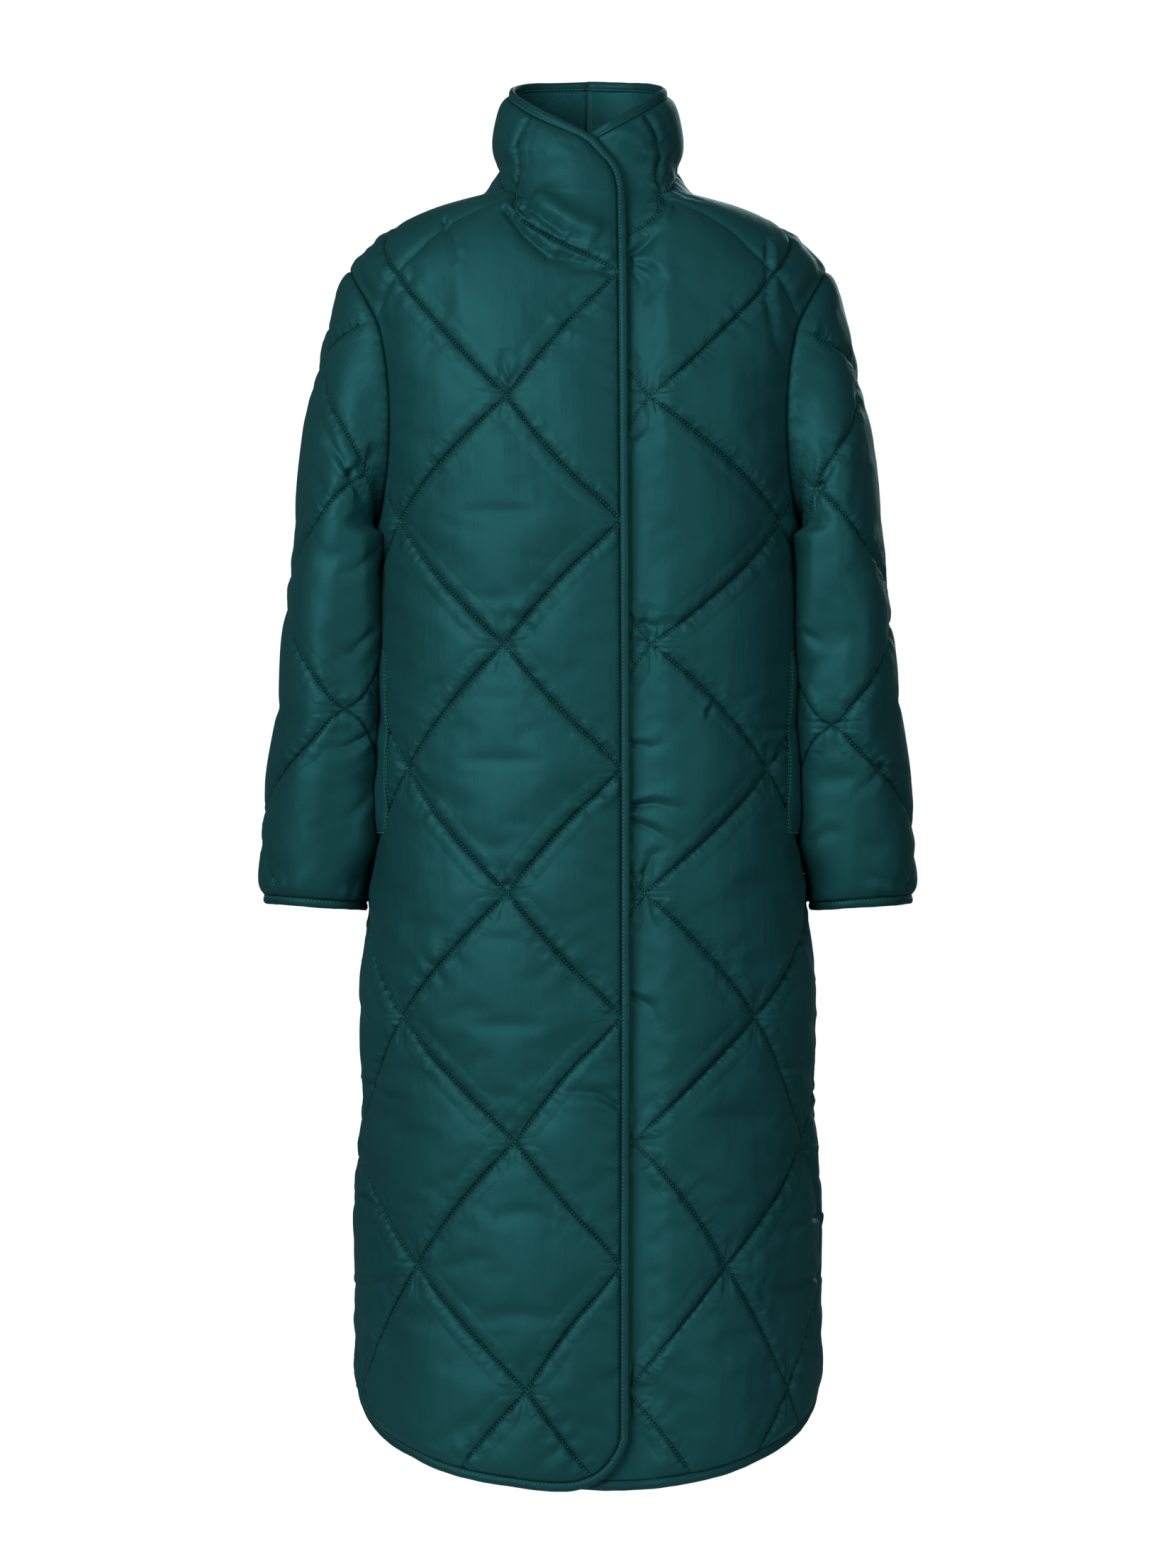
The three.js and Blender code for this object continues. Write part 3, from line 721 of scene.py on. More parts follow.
@dataclass(kw_only=True)
class Front(BodyPanel):
    """A front with its half of the collar, which runs on round the neck to its back seam.

    Attributes:
        hand: The wearer's side.
        is_over: Whether it laps over the other front.
    """

    hand: Hand
    is_over: bool
    neck_row: int = 16
    neck_column: int = 38
    collar_columns: int = 56
    tuck_start: float = 36.0
    tuck_end: float = 5.0
    tuck_clearance: float = 4.0

    def __post_init__(self) -> None:
        """Set up the front's cut."""
        self.node = f"front_{self.hand.name.lower()}"
        self.name = f"{self.node}_shell"
        self.first, self.second = curves(OVER_LATTICE if self.is_over else UNDER_LATTICE, 2)
        column = 0 if self.is_over else 1
        self.free_edge = curves(FREE_EDGE, 2)[column]
        self.collar_top = curves(COLLAR_TOP, 2)[column]
        self.hem = curves(HEM, 3)[column]
        self.columns = 60 if self.is_over else 72
        self.rows = 190
        self.hems = self.hem_heights(self.columns)

    def edge_turn(self, z: float) -> float:
        """Turn of the free edge at a height."""
        return -FORM.turn_at(self.free_edge(z), z)

    def tuck(self, base: Vector) -> float:
        """How far the cloth is tucked behind the over front, from 0 to 1."""
        if self.is_over:
            return 0.0
        clear = base.x - OVER_REACH(base.z)
        return 1 - ease(clear, self.tuck_end, self.tuck_start)

    def _spot_at(self, turn: float, z: float, give: float) -> Spot:
        """Spot of the wall at a turn from the middle of the front and a height."""
        around = self.hand.value * turn
        base = FORM.point(around, z)
        way = FORM.normal(around, z)
        side = FORM.side_turn(z, is_back=False)
        wall = QUILT.seam_wall
        if z <= 0:
            inside = max(0.0, side - turn)
            way, wall = at_side(around, z, inside, way)
            give *= side_give(z, inside)
        tuck = self.tuck(base)
        inner = base - way * tuck * (self.tuck_clearance + QUILT.seam_wall)
        gap = QUILT.seam_gap / 2
        if z <= 0 and side == 90 and abs(turn - 90) < 0.01:
            inner.y = -gap
            way.y = 0
        if z > 0 and abs(turn - 180) < 0.01:
            inner.x = self.hand.value * gap
            way.x = 0
        return Spot(inner, way.normalized(), wall, give * (1 - tuck))

    def spot(self, i: int, j: int) -> Spot:
        """Point of the grid in a column and a row of it."""
        if j <= self.neck_row and (j < self.neck_row or i > self.neck_column):
            return self._collar_spot(i, j)
        turn, z = self.place(i, (j - 2 * self.neck_row) / self.cells)
        spot = self._spot_at(turn, z, fill_at(z))
        spot.on_line = self.on_lattice(i, j)
        return spot

    def _collar_spot(self, i: int, j: int) -> Spot:
        """Point of the collar's part of the grid."""
        rise = 1 - j / self.neck_row
        turn = self._collar_turn(i, rise, 0.0)
        for _ in range(4):
            turn = self._collar_turn(i, rise, rise * self.collar_top(turn))
        z = rise * self.collar_top(turn)
        spot = self._spot_at(turn, z, 0.9)
        is_arm = False
        if turn > COLLAR_LINE(z) + 1 and 0 < j < self.neck_row:
            arm = COLLAR_ARM(turn)
            step = self.collar_top(turn) / self.neck_row
            if abs(arm - z) <= 0.5 * step:
                spot = self._spot_at(turn, arm, spot.give)
                is_arm = True
        if j == self.neck_row:
            spot.inner.z = QUILT.seam_gap / 2
            spot.way.z = 0
        spot.on_line = is_arm or (i == self.cells and j > 0)
        return spot

    def _collar_turn(self, i: int, rise: float, z: float) -> float:
        """Turn of a grid column at a height on the collar."""
        edge = self.edge_turn(z)
        line = COLLAR_LINE(z)
        if i <= self.cells:
            return mix(edge, line, i / self.cells)
        if i >= self.neck_column:
            share = (i - self.neck_column) / (self.collar_columns - self.neck_column)
            return mix(90, 180, min(1.0, share))
        even = mix(line, 90, (i - self.cells) / (self.neck_column - self.cells))
        near = min(90.0, mix(42, 77, i / self.cells - 1))
        return mix(near, even, ease(rise, 0, 0.3))

    def has_cell(self, i: int, j: int) -> bool:
        """Whether the panel has a cell: none lies behind the neck or in the armhole."""
        top = 2 * self.neck_row
        bottom = top + 2 * self.cells - 1
        if j in (top, bottom):
            return not self.ends_at_armhole(i, 0 if j == top else 2)
        return not (j == self.neck_row and i >= self.neck_column)

    def drawn_lines(self) -> list[list[Spot]]:
        """Points along each quilting line of the body and the collar."""
        sewn = partial(self._spot_at, give=0)
        lines = [self.body_line(start, fall, sewn) for start in range(-2, 16, 2) for fall in (1, -1)]
        lines.append([sewn(COLLAR_LINE(z), z) for z in range(1, 78, 2)])
        lines.append([sewn(turn, COLLAR_ARM(turn)) for turn in range(43, 168)])
        return lines


@dataclass(kw_only=True)
class Back(BodyPanel):
    """The back, whose columns count from the wearer's right side seam to the left."""

    name: str = "back_shell"
    node: str = "back"
    cells: int = 12
    half: int = 36
    columns: int = 72
    rows: int = 133
    is_back: bool = True

    def __post_init__(self) -> None:
        """Set up the back's cut."""
        self.first, self.second = curves(BACK_LATTICE, 2)
        self.hem = curves(HEM, 3)[2]
        self.hems = self.hem_heights(self.half)

    def _spot_at(self, turn: float, z: float, hand: int) -> Spot:
        """Spot of the wall at a turn from the middle of the back, on one side of it."""
        around = 180 - hand * turn
        inner = FORM.point(around, z)
        way = FORM.normal(around, z)
        side = FORM.side_turn(z, is_back=True)
        inside = max(0.0, side - turn)
        way, wall = at_side(around, z, inside, way)
        gap = QUILT.seam_gap / 2
        if side == 90 and abs(turn - 90) < 0.01:
            inner.y = gap
            way.y = 0
        if z > -0.01:
            inner.z = -gap
            way.z = 0
        give = fill_at(z) * side_give(z, inside)
        return Spot(inner, way.normalized(), wall, give)

    def has_cell(self, i: int, j: int) -> bool:
        """Whether the panel has a cell: none lies in an armhole."""
        if j not in (self.cells, 3 * self.cells - 1):
            return True
        n = min(abs(i - self.half), abs(i + 1 - self.half))
        return not self.ends_at_armhole(n, 0 if j == self.cells else 2)

    def spot(self, i: int, j: int) -> Spot:
        """Point of the grid in a column and a row of it."""
        n = abs(i - self.half)
        spot = self._spot_at(*self.place(n, j / self.cells - 1), -1 if i < self.half else 1)
        spot.on_line = self.on_lattice(n, j - self.cells)
        return spot

    def drawn_lines(self) -> list[list[Spot]]:
        """Points along each quilting line, on both sides of the middle of the back."""
        lines = []
        for hand in (-1, 1):
            sewn = partial(self._spot_at, hand=hand)
            for start in range(-2, 14, 2):
                for fall in (1, -1):
                    lines.append(self.body_line(start, fall, sewn))
        return lines


@dataclass(kw_only=True)
class Sleeve(Panel):
    """A sleeve: a tube of cells from the armhole down to the cuff.

    Attributes:
        hand: The wearer's side.
        node_height: Height of the upper corner of diamonds on its front.
    """

    hand: Hand
    node_height: float
    columns: int = 64
    spokes: int = 16
    node_column: int = 20
    lengths: int = 90
    lowest: float = -660.0
    least_fall: float = 1.5
    seam_share: float = 1 / 21
    blend_length: float = 0.25
    shelter: float = 0.4
    lean: float = 5.0
    roundness: float = 2.1
    set_back: float = 4.0

    def __post_init__(self) -> None:
        """Set up the sleeve's cut."""
        self.node = f"sleeve_{self.hand.name.lower()}"
        self.name = f"{self.node}_shell"
        self.rings = curves(SLEEVE_RINGS, 5)
        cell = QUILT.sleeve_row / self.cells
        self.node_row = math.ceil((FORM.armhole_top - self.node_height) / cell)
        self.rows = self.node_row + math.ceil((self.node_height - self.lowest) / cell)
        self.tracks = [self._track(n) for n in range(self.columns)]
        self.levels = [self._levels(track) for track in self.tracks]

    def _seam(self, spoke: float) -> tuple[Vector, Vector, float]:
        """Armhole seam at a spoke: its place, its way through the wall, and its turn."""
        half = self.spokes / 2
        is_back = spoke > half
        step = self.spokes - spoke if is_back else spoke
        share = mix(step / half, (1 - math.cos(math.pi * step / half)) / 2, 0.75)
        z = mix(FORM.armhole_top, FORM.armhole_bottom, share)
        side = FORM.side_turn(z - 0.001 if step == 0 else z, is_back)
        around = 180 - side if is_back else side
        base = FORM.point(around, z)
        if step in (0, half):
            base.y = 0
        turn = math.degrees(math.acos(max(-1.0, min(1.0, 1 - 2 * share))))
        return base, FORM.armhole_way(around, z), -turn if is_back else turn

    def _tube_point(self, along: float, turn: float) -> Vector:
        """Point of the plain tube, by the share of its length and the turn round it."""
        out_x, out_z, in_x, in_z, depth = (curve(along) for curve in self.rings)
        outermost = Vector((out_x, 0, out_z))
        innermost = Vector((in_x, 0, in_z))
        angle = math.radians(turn)
        power = 2 / self.roundness
        reach = (outermost - innermost) / 2 * signed_power(math.cos(angle), power)
        point = (outermost + innermost) / 2 + reach
        point.y = self.set_back * along - depth * signed_power(math.sin(angle), power)
        return point

    def _track(self, n: int) -> list[Vector]:
        """Points of the plain inside down one column of the grid."""
        spoke = n * self.spokes / self.columns
        base, _, turn = self._seam(spoke)
        short = spoke - self.spokes if spoke > self.spokes - 2.5 else spoke
        far = SLEEVE_TURN(short)
        near = turn + 360 if spoke > self.spokes / 2 and short > 0 else turn
        shift = base - self._tube_point(0, near)
        track = []
        for r in range(self.lengths + 1):
            along = r / self.lengths
            fade = 1 - ease(along, 0, self.blend_length)
            track.append(self._tube_point(along, mix(far, near, fade)) + shift * fade)
        return track

    def _levels(self, track: list[Vector]) -> list[float]:
        """Heights that fall steadily down a track, by which its points are found."""
        levels = [track[0].z]
        for point in track[1:]:
            levels.append(min(point.z, levels[-1] - self.least_fall))
        return levels

    def _place(self, n: float, z: float) -> tuple[Vector, float]:
        """Point of the plain inside at a column and a height, and the share of its length."""
        low = math.floor(n)
        points = []
        alongs = []
        for k in (low % self.columns, (low + 1) % self.columns):
            track = self.tracks[k]
            levels = self.levels[k]
            r = 0
            while r < self.lengths - 1 and levels[r + 1] > z:
                r += 1
            share = min(1.0, max(0.0, (levels[r] - z) / (levels[r] - levels[r + 1])))
            points.append(track[r].lerp(track[r + 1], share))
            alongs.append((r + share) / self.lengths)
        part = n - low
        return points[0].lerp(points[1], part), mix(alongs[0], alongs[1], part)

    def _spot_at(self, n: float, z: float) -> Spot:
        """Spot of the wall at a column of the grid and a height."""
        ends = [self.tracks[math.floor(n) % self.columns], self.tracks[math.ceil(n) % self.columns]]
        part = n - math.floor(n)
        top = mix(ends[0][0].z, ends[1][0].z, part)
        bottom = mix(ends[0][-1].z, ends[1][-1].z, part)
        z = max(bottom, min(top, z))
        step = QUILT.sleeve_row / self.cells
        if top - z < SNAP * step:
            z = top
        if z - bottom < SNAP * step:
            z = bottom
        point, along = self._place(n, z)
        before, _ = self._place(n - 1, z)
        after, _ = self._place(n + 1, z)
        above, _ = self._place(n, min(top, z + 4))
        below, _ = self._place(n, max(bottom, z - 4))
        way = (after - before).cross(below - above).normalized()
        spoke = n * self.spokes / self.columns
        seam, seam_way, _ = self._seam(spoke % self.spokes)
        share = ease(along, 0, self.seam_share)
        if along < self.seam_share:
            out = (after - before).cross(seam_way).normalized()
            if out.x < 0:
                out.negate()
            point = point + out * QUILT.seam_gap * (1 - share)
            way = seam_way.lerp(way, share).normalized()
        facing = math.cos(math.radians(SLEEVE_TURN(spoke if spoke < 13.5 else spoke - 16)))
        sheltered = ease(-facing, 0, 0.6)
        give = mix(1, self.shelter, sheltered) * mix(0.7, 1, ease(along, 0, 0.16))
        wall = mix(QUILT.wall_at_armhole(seam.z), QUILT.seam_wall, ease(along, 0, 0.08))
        wall += self.lean * sheltered * ease(along, 0.03, 0.1)
        sign = self.hand.value
        inner = Vector((sign * point.x, point.y, point.z))
        return Spot(inner, Vector((sign * way.x, way.y, way.z)), wall, give)

    def spot(self, i: int, j: int) -> Spot:
        """Point of the grid in a column and a row of it."""
        z = self.node_height - (j - self.node_row) * QUILT.sleeve_row / self.cells
        spot = self._spot_at(i % self.columns, z)
        spot.on_line = self.on_lattice(self.node_column - i, j - self.node_row)
        return spot

    def drawn_lines(self) -> list[list[Spot]]:
        """Points along each quilting line, from the armhole or the cuff round the sleeve."""
        return [self._line(turns, fall) for turns in range(-3, 6) for fall in (1, -1)]

    def _line(self, turns: int, fall: int) -> list[Spot]:
        """The part of a line of quilting that lies between the armhole and the cuff.

        Args:
            turns: How many diamonds below the node height it crosses the node column.
            fall: 1 if it runs down as the columns rise, or -1.
        """
        line = []
        for n in range(2 * self.columns + 1):
            column = n / 2
            step = fall * (column - self.node_column) + 2 * self.cells * turns
            z = self.node_height - step * QUILT.sleeve_row / self.cells
            track = self.tracks[round(column) % self.columns]
            if track[0].z - 3 > z > track[-1].z + 3:
                line.append(self._spot_at(column, z))
            elif len(line) > SHORTEST_LINE:
                break
            else:
                line = []
        return line


# ---- Padding, creases and walls ----------------------------------------------------------------


@dataclass(frozen=True)
class Filling:
    """How the padding and the satin over it behave while the shell fills out."""

    pressure: float = 5.0
    slack: float = 0.012
    frames: int = 14
    cap: float = 0.0135
    least_give: float = 0.15

    def fill_out(self, sheets: Sequence[bpy.types.Object]) -> None:
        """Lift the free parts of every sheet at once, and keep the shape that they reach.

        Args:
            sheets: Open sheets with the vertex groups "held" and "filled".
        """
        for sheet in sheets:
            self._soften(sheet)
        scene = bpy.context.scene
        for number in range(1, self.frames + 1):
            scene.frame_set(number)
        for sheet in sheets:
            self._keep(sheet)
        scene.frame_set(1)

    def _soften(self, sheet: bpy.types.Object) -> None:
        """Make a sheet behave as light satin, blown up from inside."""
        modifier = sheet.modifiers.new("filling", "CLOTH")
        modifier.point_cache.frame_start = 1
        modifier.point_cache.frame_end = self.frames
        settings = {
            "quality": 6,
            "mass": 0.12,
            "tension_stiffness": 30,
            "compression_stiffness": 12,
            "shear_stiffness": 8,
            "bending_stiffness": 0.05,
            "tension_damping": 12,
            "compression_damping": 12,
            "shear_damping": 12,
            "air_damping": 4,
            "use_pressure": True,
            "uniform_pressure_force": self.pressure,
            "vertex_group_pressure": "filled",
            "vertex_group_mass": "held",
            "shrink_min": -self.slack,
        }
        cloth = modifier.settings
        for name, value in settings.items():
            setattr(cloth, name, value)
        cloth.effector_weights.gravity = 0
        modifier.collision_settings.use_collision = False

    def _keep(self, sheet: bpy.types.Object) -> None:
        """Apply the cloth, with a cap on how far any point may stand out."""
        replace_mesh(sheet)
        mesh = sheet.data
        inner = mesh.attributes["inner"].data
        way = mesh.attributes["way"].data
        give = mesh.attributes["give"].data
        wall = mesh.attributes["wall"].data
        for vert in mesh.vertices:
            base = Vector(inner[vert.index].vector)
            out = Vector(way[vert.index].vector)
            share = max(self.least_give, give[vert.index].value)
            limit = wall[vert.index].value + self.cap * share
            over = (vert.co - base).dot(out) - limit
            if over > 0:
                vert.co -= out * over


def replace_mesh(piece: bpy.types.Object) -> None:
    """Apply all of a piece's modifiers."""
    graph = bpy.context.evaluated_depsgraph_get()
    old = piece.data
    shaped = piece.evaluated_get(graph)
    piece.data = bpy.data.meshes.new_from_object(
        shaped, preserve_all_data_layers=True, depsgraph=graph
    )
    piece.modifiers.clear()
    bpy.data.meshes.remove(old)


def subdivide(piece: bpy.types.Object) -> None:
    """Halve a sheet's cells once, with its quilting lines kept sharp."""
    modifier = piece.modifiers.new("finer", "SUBSURF")
    modifier.levels = 1
    modifier.render_levels = 1
    modifier.boundary_smooth = "PRESERVE_CORNERS"
    replace_mesh(piece)


@dataclass(frozen=True)
class Crease:
    """A soft trough or ridge in the shell, along a path seen from the front or back.

    Attributes:
        path: Points (x, z) along it, in millimetres.
        depth: How deep it is; below 0 it is a ridge.
        width: Its half width.
        lip: Height of the roll of cloth that lies beside it.
        is_behind: Whether it lies on the back of the coat.
    """

    path: tuple[tuple[float, float], ...]
    depth: float = 3.0
    width: float = 6.0
    lip: float = 0.0
    is_behind: bool = False

    @property
    def is_sharp(self) -> bool:
        """Whether it is deep and narrow enough to need a finer mesh."""
        return self.depth > 2.5 and self.width < 5.1

    def bounds(self) -> tuple[float, float, float, float]:
        """Box (low x, high x, low z, high z) past which it moves nothing."""
        reach = 4 * self.width
        xs = [x for x, _ in self.path]
        zs = [z for _, z in self.path]
        return min(xs) - reach, max(xs) + reach, min(zs) - reach, max(zs) + reach

    def nearest(self, x: float, z: float) -> tuple[float, float, float]:
        """Where a place lies beside the path, in millimetres.

        Returns:
            Its distance from the path, the share of the path's length at the nearest
            point, and the side of the path that it is on, as 1 or -1.
        """
        lengths = [math.dist(a, b) for a, b in zip(self.path, self.path[1:])]
        total = sum(lengths)
        best = (math.inf, 0.0, 0.0)
        walked = 0.0
        for (ax, az), (bx, bz), length in zip(self.path, self.path[1:], lengths):
            along = ((x - ax) * (bx - ax) + (z - az) * (bz - az)) / length**2
            along = min(1.0, max(0.0, along))
            dx = x - mix(ax, bx, along)
            dz = z - mix(az, bz, along)
            distance = math.hypot(dx, dz)
            if distance < best[0]:
                side = (bx - ax) * dz - (bz - az) * dx
                best = (distance, (walked + along * length) / total, math.copysign(1, side))
            walked += length
        return best

    def lift(self, x: float, z: float) -> float:
        """How far the crease moves the shell out at a place, in millimetres."""
        distance, share, side = self.nearest(x, z)
        if self.depth < 0:
            fade = min(1.0, 3.2 * math.sin(math.pi * min(0.985, max(0.015, share))))
            return -fade * self.depth * math.exp(-((distance / self.width) ** 2))
        width = self.width * mix(0.7, 1.4, share)
        trough = self.depth * math.exp(-((distance / width) ** 1.6))
        roll = math.exp(-(((side * distance - 1.8 * width) / (1.1 * width)) ** 2))
        return (1 - share) ** 0.7 * (self.lip * roll - trough)

    def covers(self, x: float, z: float, reach: float) -> bool:
        """Whether a place lies within a reach of the path, in half widths."""
        return self.nearest(x, z)[0] < reach * self.width


def folds(is_behind: bool, *rows: tuple[float, ...]) -> tuple[Crease, ...]:
    """Creases from rows of the x and z of each point, then the depth, width and lip.

    Args:
        is_behind: Whether they lie on the back of the coat.
        rows: The rows.

    Returns:
        The creases, in the order of the rows.
    """
    return tuple(
        Crease(tuple(zip(row[:-3:2], row[1:-3:2])), *row[-3:], is_behind) for row in rows
    )


# Folds that the satin holds: x and z of each point, depth, width, lip. Each starts at a seam, where it is
# deepest, and runs out into the cloth.
CREASES: dict[str, tuple[Crease, ...]] = {
    "front_right": folds(
        False,
        (-50, 6, -34, -10, -8, -28, 14, -36, -8.0, 11.0, 0),
        (-60, -14, -46, -32, -22, -48, 6, -56, -3.5, 6.5, 0),
        (-76, -12, -60, -34, -36, -56, 7, -62, 27, -72, 7.5, 5.0, 2.6),
        (-66, -6, -54, -20, -44, -34, 6.0, 4.5, 2.0),
        (-64, -2, -42, -20, -16, -40, -1, -48, 6.0, 4.5, 0.0),
        (-64, 4, -76, 17, -88, 29, 5.0, 5.0, 2.0),
        (27, -73, 4, -66, -28, -70, 4.0, 4.5, 1.8),
        (30, -40, 10, -48, -8, -50, 3.0, 5.0, 1.5),
        (-134, -22, -129, -44, -121, -62, 4.0, 4.5, 1.5),
        (-120, -40, -121, -70, -117, -130, -1.8, 8.0, 0),
        (-72, -172, -78, -160, -80, -142, 2.6, 4.0, 1.2),
        (-72, -172, -62, -158, -60, -140, 2.2, 4.0, 1.0),
        (30, -120, 14, -132, 2, -150, 2.2, 5.0, 1.0),
        (30, -302, 12, -318, 4, -340, 2.2, 5.0, 1.0),
        (30, -528, 16, -512, 2, -500, 3.2, 4.5, 1.4),
        (30, -540, 10, -556, -2, -562, 3.0, 4.5, 1.4),
        (-166, -530, -152, -548, -142, -556, 3.4, 4.5, 1.4),
        (-166, -530, -180, -516, -190, -506, 3.4, 4.5, 1.4),
        (-76, -640, -84, -620, -86, -600, 2.4, 4.5, 1.2),
        (-76, -640, -62, -628, -44, -626, 2.6, 4.5, 1.2),
        (-76, -410, -70, -428, -70, -450, 2.2, 4.5, 1.0),
        (30, -845, 8, -832, -28, -830, 4.4, 5.0, 2.2),
        (30, -820, 14, -812, 0, -810, 2.4, 4.5, 1.2),
        (-70, -876, -60, -860, -40, -852, 2.6, 4.5, 1.2),
        (-70, -876, -84, -894, -90, -914, 2.4, 4.5, 1.2),
        (-204, -826, -186, -838, -160, -842, 3.0, 5.0, 1.4),
        (-210, -932, -188, -948, -164, -950, 3.0, 5.0, 1.4),
        (-212, -1012, -186, -1008, -164, -998, 3.2, 5.0, 1.6),
        (30, -1000, 14, -1016, 8, -1040, 2.4, 5.0, 1.0),
        (-54, -1110, -60, -1092, -74, -1080, 2.6, 4.5, 1.2),
    ),
    "front_left": folds(
        False,
        (38, -56, 56, -42, 72, -22, 5.0, 5.0, 2.0),
        (38, -60, 56, -66, 76, -80, 3.6, 4.5, 1.6),
        (38, -64, 50, -80, 56, -102, 2.8, 4.5, 1.4),
        (70, 4, 82, -8, 96, -14, 4.0, 4.5, 1.8),
        (72, -4, 62, -18, 48, -24, 3.6, 4.5, 1.6),
        (168, -46, 167, -94, 174, -130, 189, -174, 3.6, 5.0, 2.0),
        (62, -182, 70, -168, 70, -150, 2.4, 4.5, 1.2),
        (40, -230, 56, -222, 74, -222, 2.4, 4.5, 1.2),
        (42, -396, 66, -400, 90, -394, 3.0, 4.5, 1.4),
        (58, -412, 54, -396, 58, -378, 2.6, 4.5, 1.2),
        (112, -480, 122, -466, 118, -452, 3.0, 4.5, 1.4),
        (190, -492, 172, -496, 150, -494, 3.4, 4.5, 1.6),
        (190, -512, 174, -514, 156, -508, 3.0, 4.5, 1.4),
        (40, -508, 58, -512, 78, -508, 2.6, 4.5, 1.4),
        (40, -566, 62, -564, 92, -570, 4.6, 4.5, 2.2),
        (40, -580, 60, -588, 80, -602, 3.2, 4.5, 1.6),
        (53, -628, 60, -612, 76, -604, 2.8, 4.5, 1.2),
        (40, -650, 54, -660, 62, -676, 2.4, 4.5, 1.2),
        (40, -742, 58, -752, 66, -770, 2.6, 4.5, 1.2),
        (200, -806, 182, -812, 158, -810, 2.6, 5.0, 0.6),
        (210, -880, 186, -890, 166, -888, 3.2, 5.0, 1.6),
        (212, -950, 190, -960, 172, -958, 3.2, 5.0, 1.6),
        (212, -1006, 186, -1018, 166, -1016, 3.4, 5.0, 1.6),
        (125, -989, 136, -1004, 154, -1010, 2.8, 4.5, 1.2),
        (125, -989, 118, -970, 120, -950, 2.4, 4.5, 1.2),
    ),
    "back": folds(
        True,
        (-196, -100, -176, -130, -168, -180, 3.2, 5.0, 1.6),
        (196, -96, 172, -124, 166, -170, 3.2, 5.0, 1.6),
        (-90, -6, -60, -34, -16, -46, 3.4, 6.0, 1.8),
        (90, -6, 66, -30, 30, -44, 3.2, 6.0, 1.6),
        (0, -71, 10, -90, 8, -116, 2.4, 5.0, 1.2),
        (-90, -186, -78, -204, -76, -230, 2.4, 5.0, 1.2),
        (-190, -404, -170, -418, -146, -420, 3.0, 5.0, 1.4),
        (190, -428, 168, -438, 144, -438, 2.8, 5.0, 1.4),
        (0, -532, -20, -548, -46, -552, 3.0, 4.5, 1.4),
        (88, -416, 98, -434, 98, -458, 2.4, 5.0, 1.2),
        (88, -647, 104, -630, 128, -626, 2.8, 4.5, 1.4),
        (0, -762, 14, -742, 36, -736, 2.8, 4.5, 1.4),
        (206, -838, 182, -850, 160, -850, 3.0, 5.0, 1.4),
        (-208, -898, -184, -910, -162, -908, 3.0, 5.0, 1.4),
        (-92, -878, -104, -896, -106, -920, 2.4, 5.0, 1.2),
        (0, -994, -12, -1014, -14, -1040, 2.6, 5.0, 1.2),
    ),
    "sleeve_right": folds(
        False,
        (-222, -256, -240, -228, -252, -196, 3.6, 4.5, 1.8),
        (-222, -258, -210, -280, -196, -299, 4.2, 5.0, 1.8),
        (-222, -256, -206, -246, -194, -230, 3.0, 4.5, 1.4),
        (-202, -500, -224, -512, -252, -514, 4.2, 5.0, 2.0),
        (-228, -473, -216, -488, -206, -494, 3.4, 4.5, 1.4),
        (-228, -473, -240, -452, -244, -430, 2.6, 5.0, 1.2),
        (-200, -404, -220, -424, -240, -432, 2.6, 5.0, 1.2),
        (-198, -330, -214, -346, -236, -352, 2.6, 5.0, 1.2),
        (-206, -560, -222, -580, -226, -610, 2.4, 5.0, 1.2),
    )
    + folds(
        True,
        (-200, -296, -222, -318, -250, -320, 3.4, 5.0, 1.6),
        (-204, -440, -230, -454, -262, -450, 3.4, 5.0, 1.6),
        (-204, -560, -226, -576, -250, -576, 2.8, 5.0, 1.4),
    ),
    "sleeve_left": folds(
        False,
        (216, -268, 226, -246, 222, -224, 3.8, 4.5, 2.0),
        (216, -268, 206, -286, 196, -298, 3.8, 4.5, 1.6),
        (216, -268, 234, -238, 250, -204, 2.6, 4.5, 1.2),
        (275, -530, 266, -518, 260, -508, 3.4, 4.5, 1.4),
        (275, -530, 288, -534, 300, -532, 3.0, 4.5, 1.2),
        (275, -530, 262, -546, 244, -558, 3.0, 5.0, 1.4),
        (234, -495, 244, -474, 260, -460, 2.8, 5.0, 1.2),
        (200, -404, 220, -420, 240, -424, 2.4, 5.0, 1.2),
        (290, -640, 270, -634, 250, -636, 2.4, 4.5, 1.2),
        (206, -600, 224, -590, 240, -592, 2.4, 5.0, 1.2),
    )
    + folds(
        True,
        (200, -306, 222, -326, 252, -326, 3.4, 5.0, 1.6),
        (204, -452, 230, -464, 262, -460, 3.4, 5.0, 1.6),
        (206, -574, 228, -590, 252, -588, 2.8, 5.0, 1.4),
    ),
}


@dataclass(frozen=True)
class Ripples:
    """Long, soft ripples that satin keeps between its quilting lines."""

    height: float = 1.2
    across: float = 32.0
    along: float = 8.0
    seed: float = 0.0

    def lift(self, u: float, v: float) -> float:
        """How far the ripples move the shell out at a place on the cloth, in metres."""
        bend = 0.012 * noise.noise(Vector((4 * u, 5 * v, self.seed + 9)))
        place = Vector(((u + bend) * self.across, v * self.along, self.seed))
        broad = noise.noise(place)
        fine = noise.noise(place * 2.3 + Vector((5, 3, 1)))
        where = ease(noise.noise(Vector((6 * u, 5 * v, self.seed + 4))), -0.35, 0.4)
        return self.height * where * (broad + 0.45 * fine)


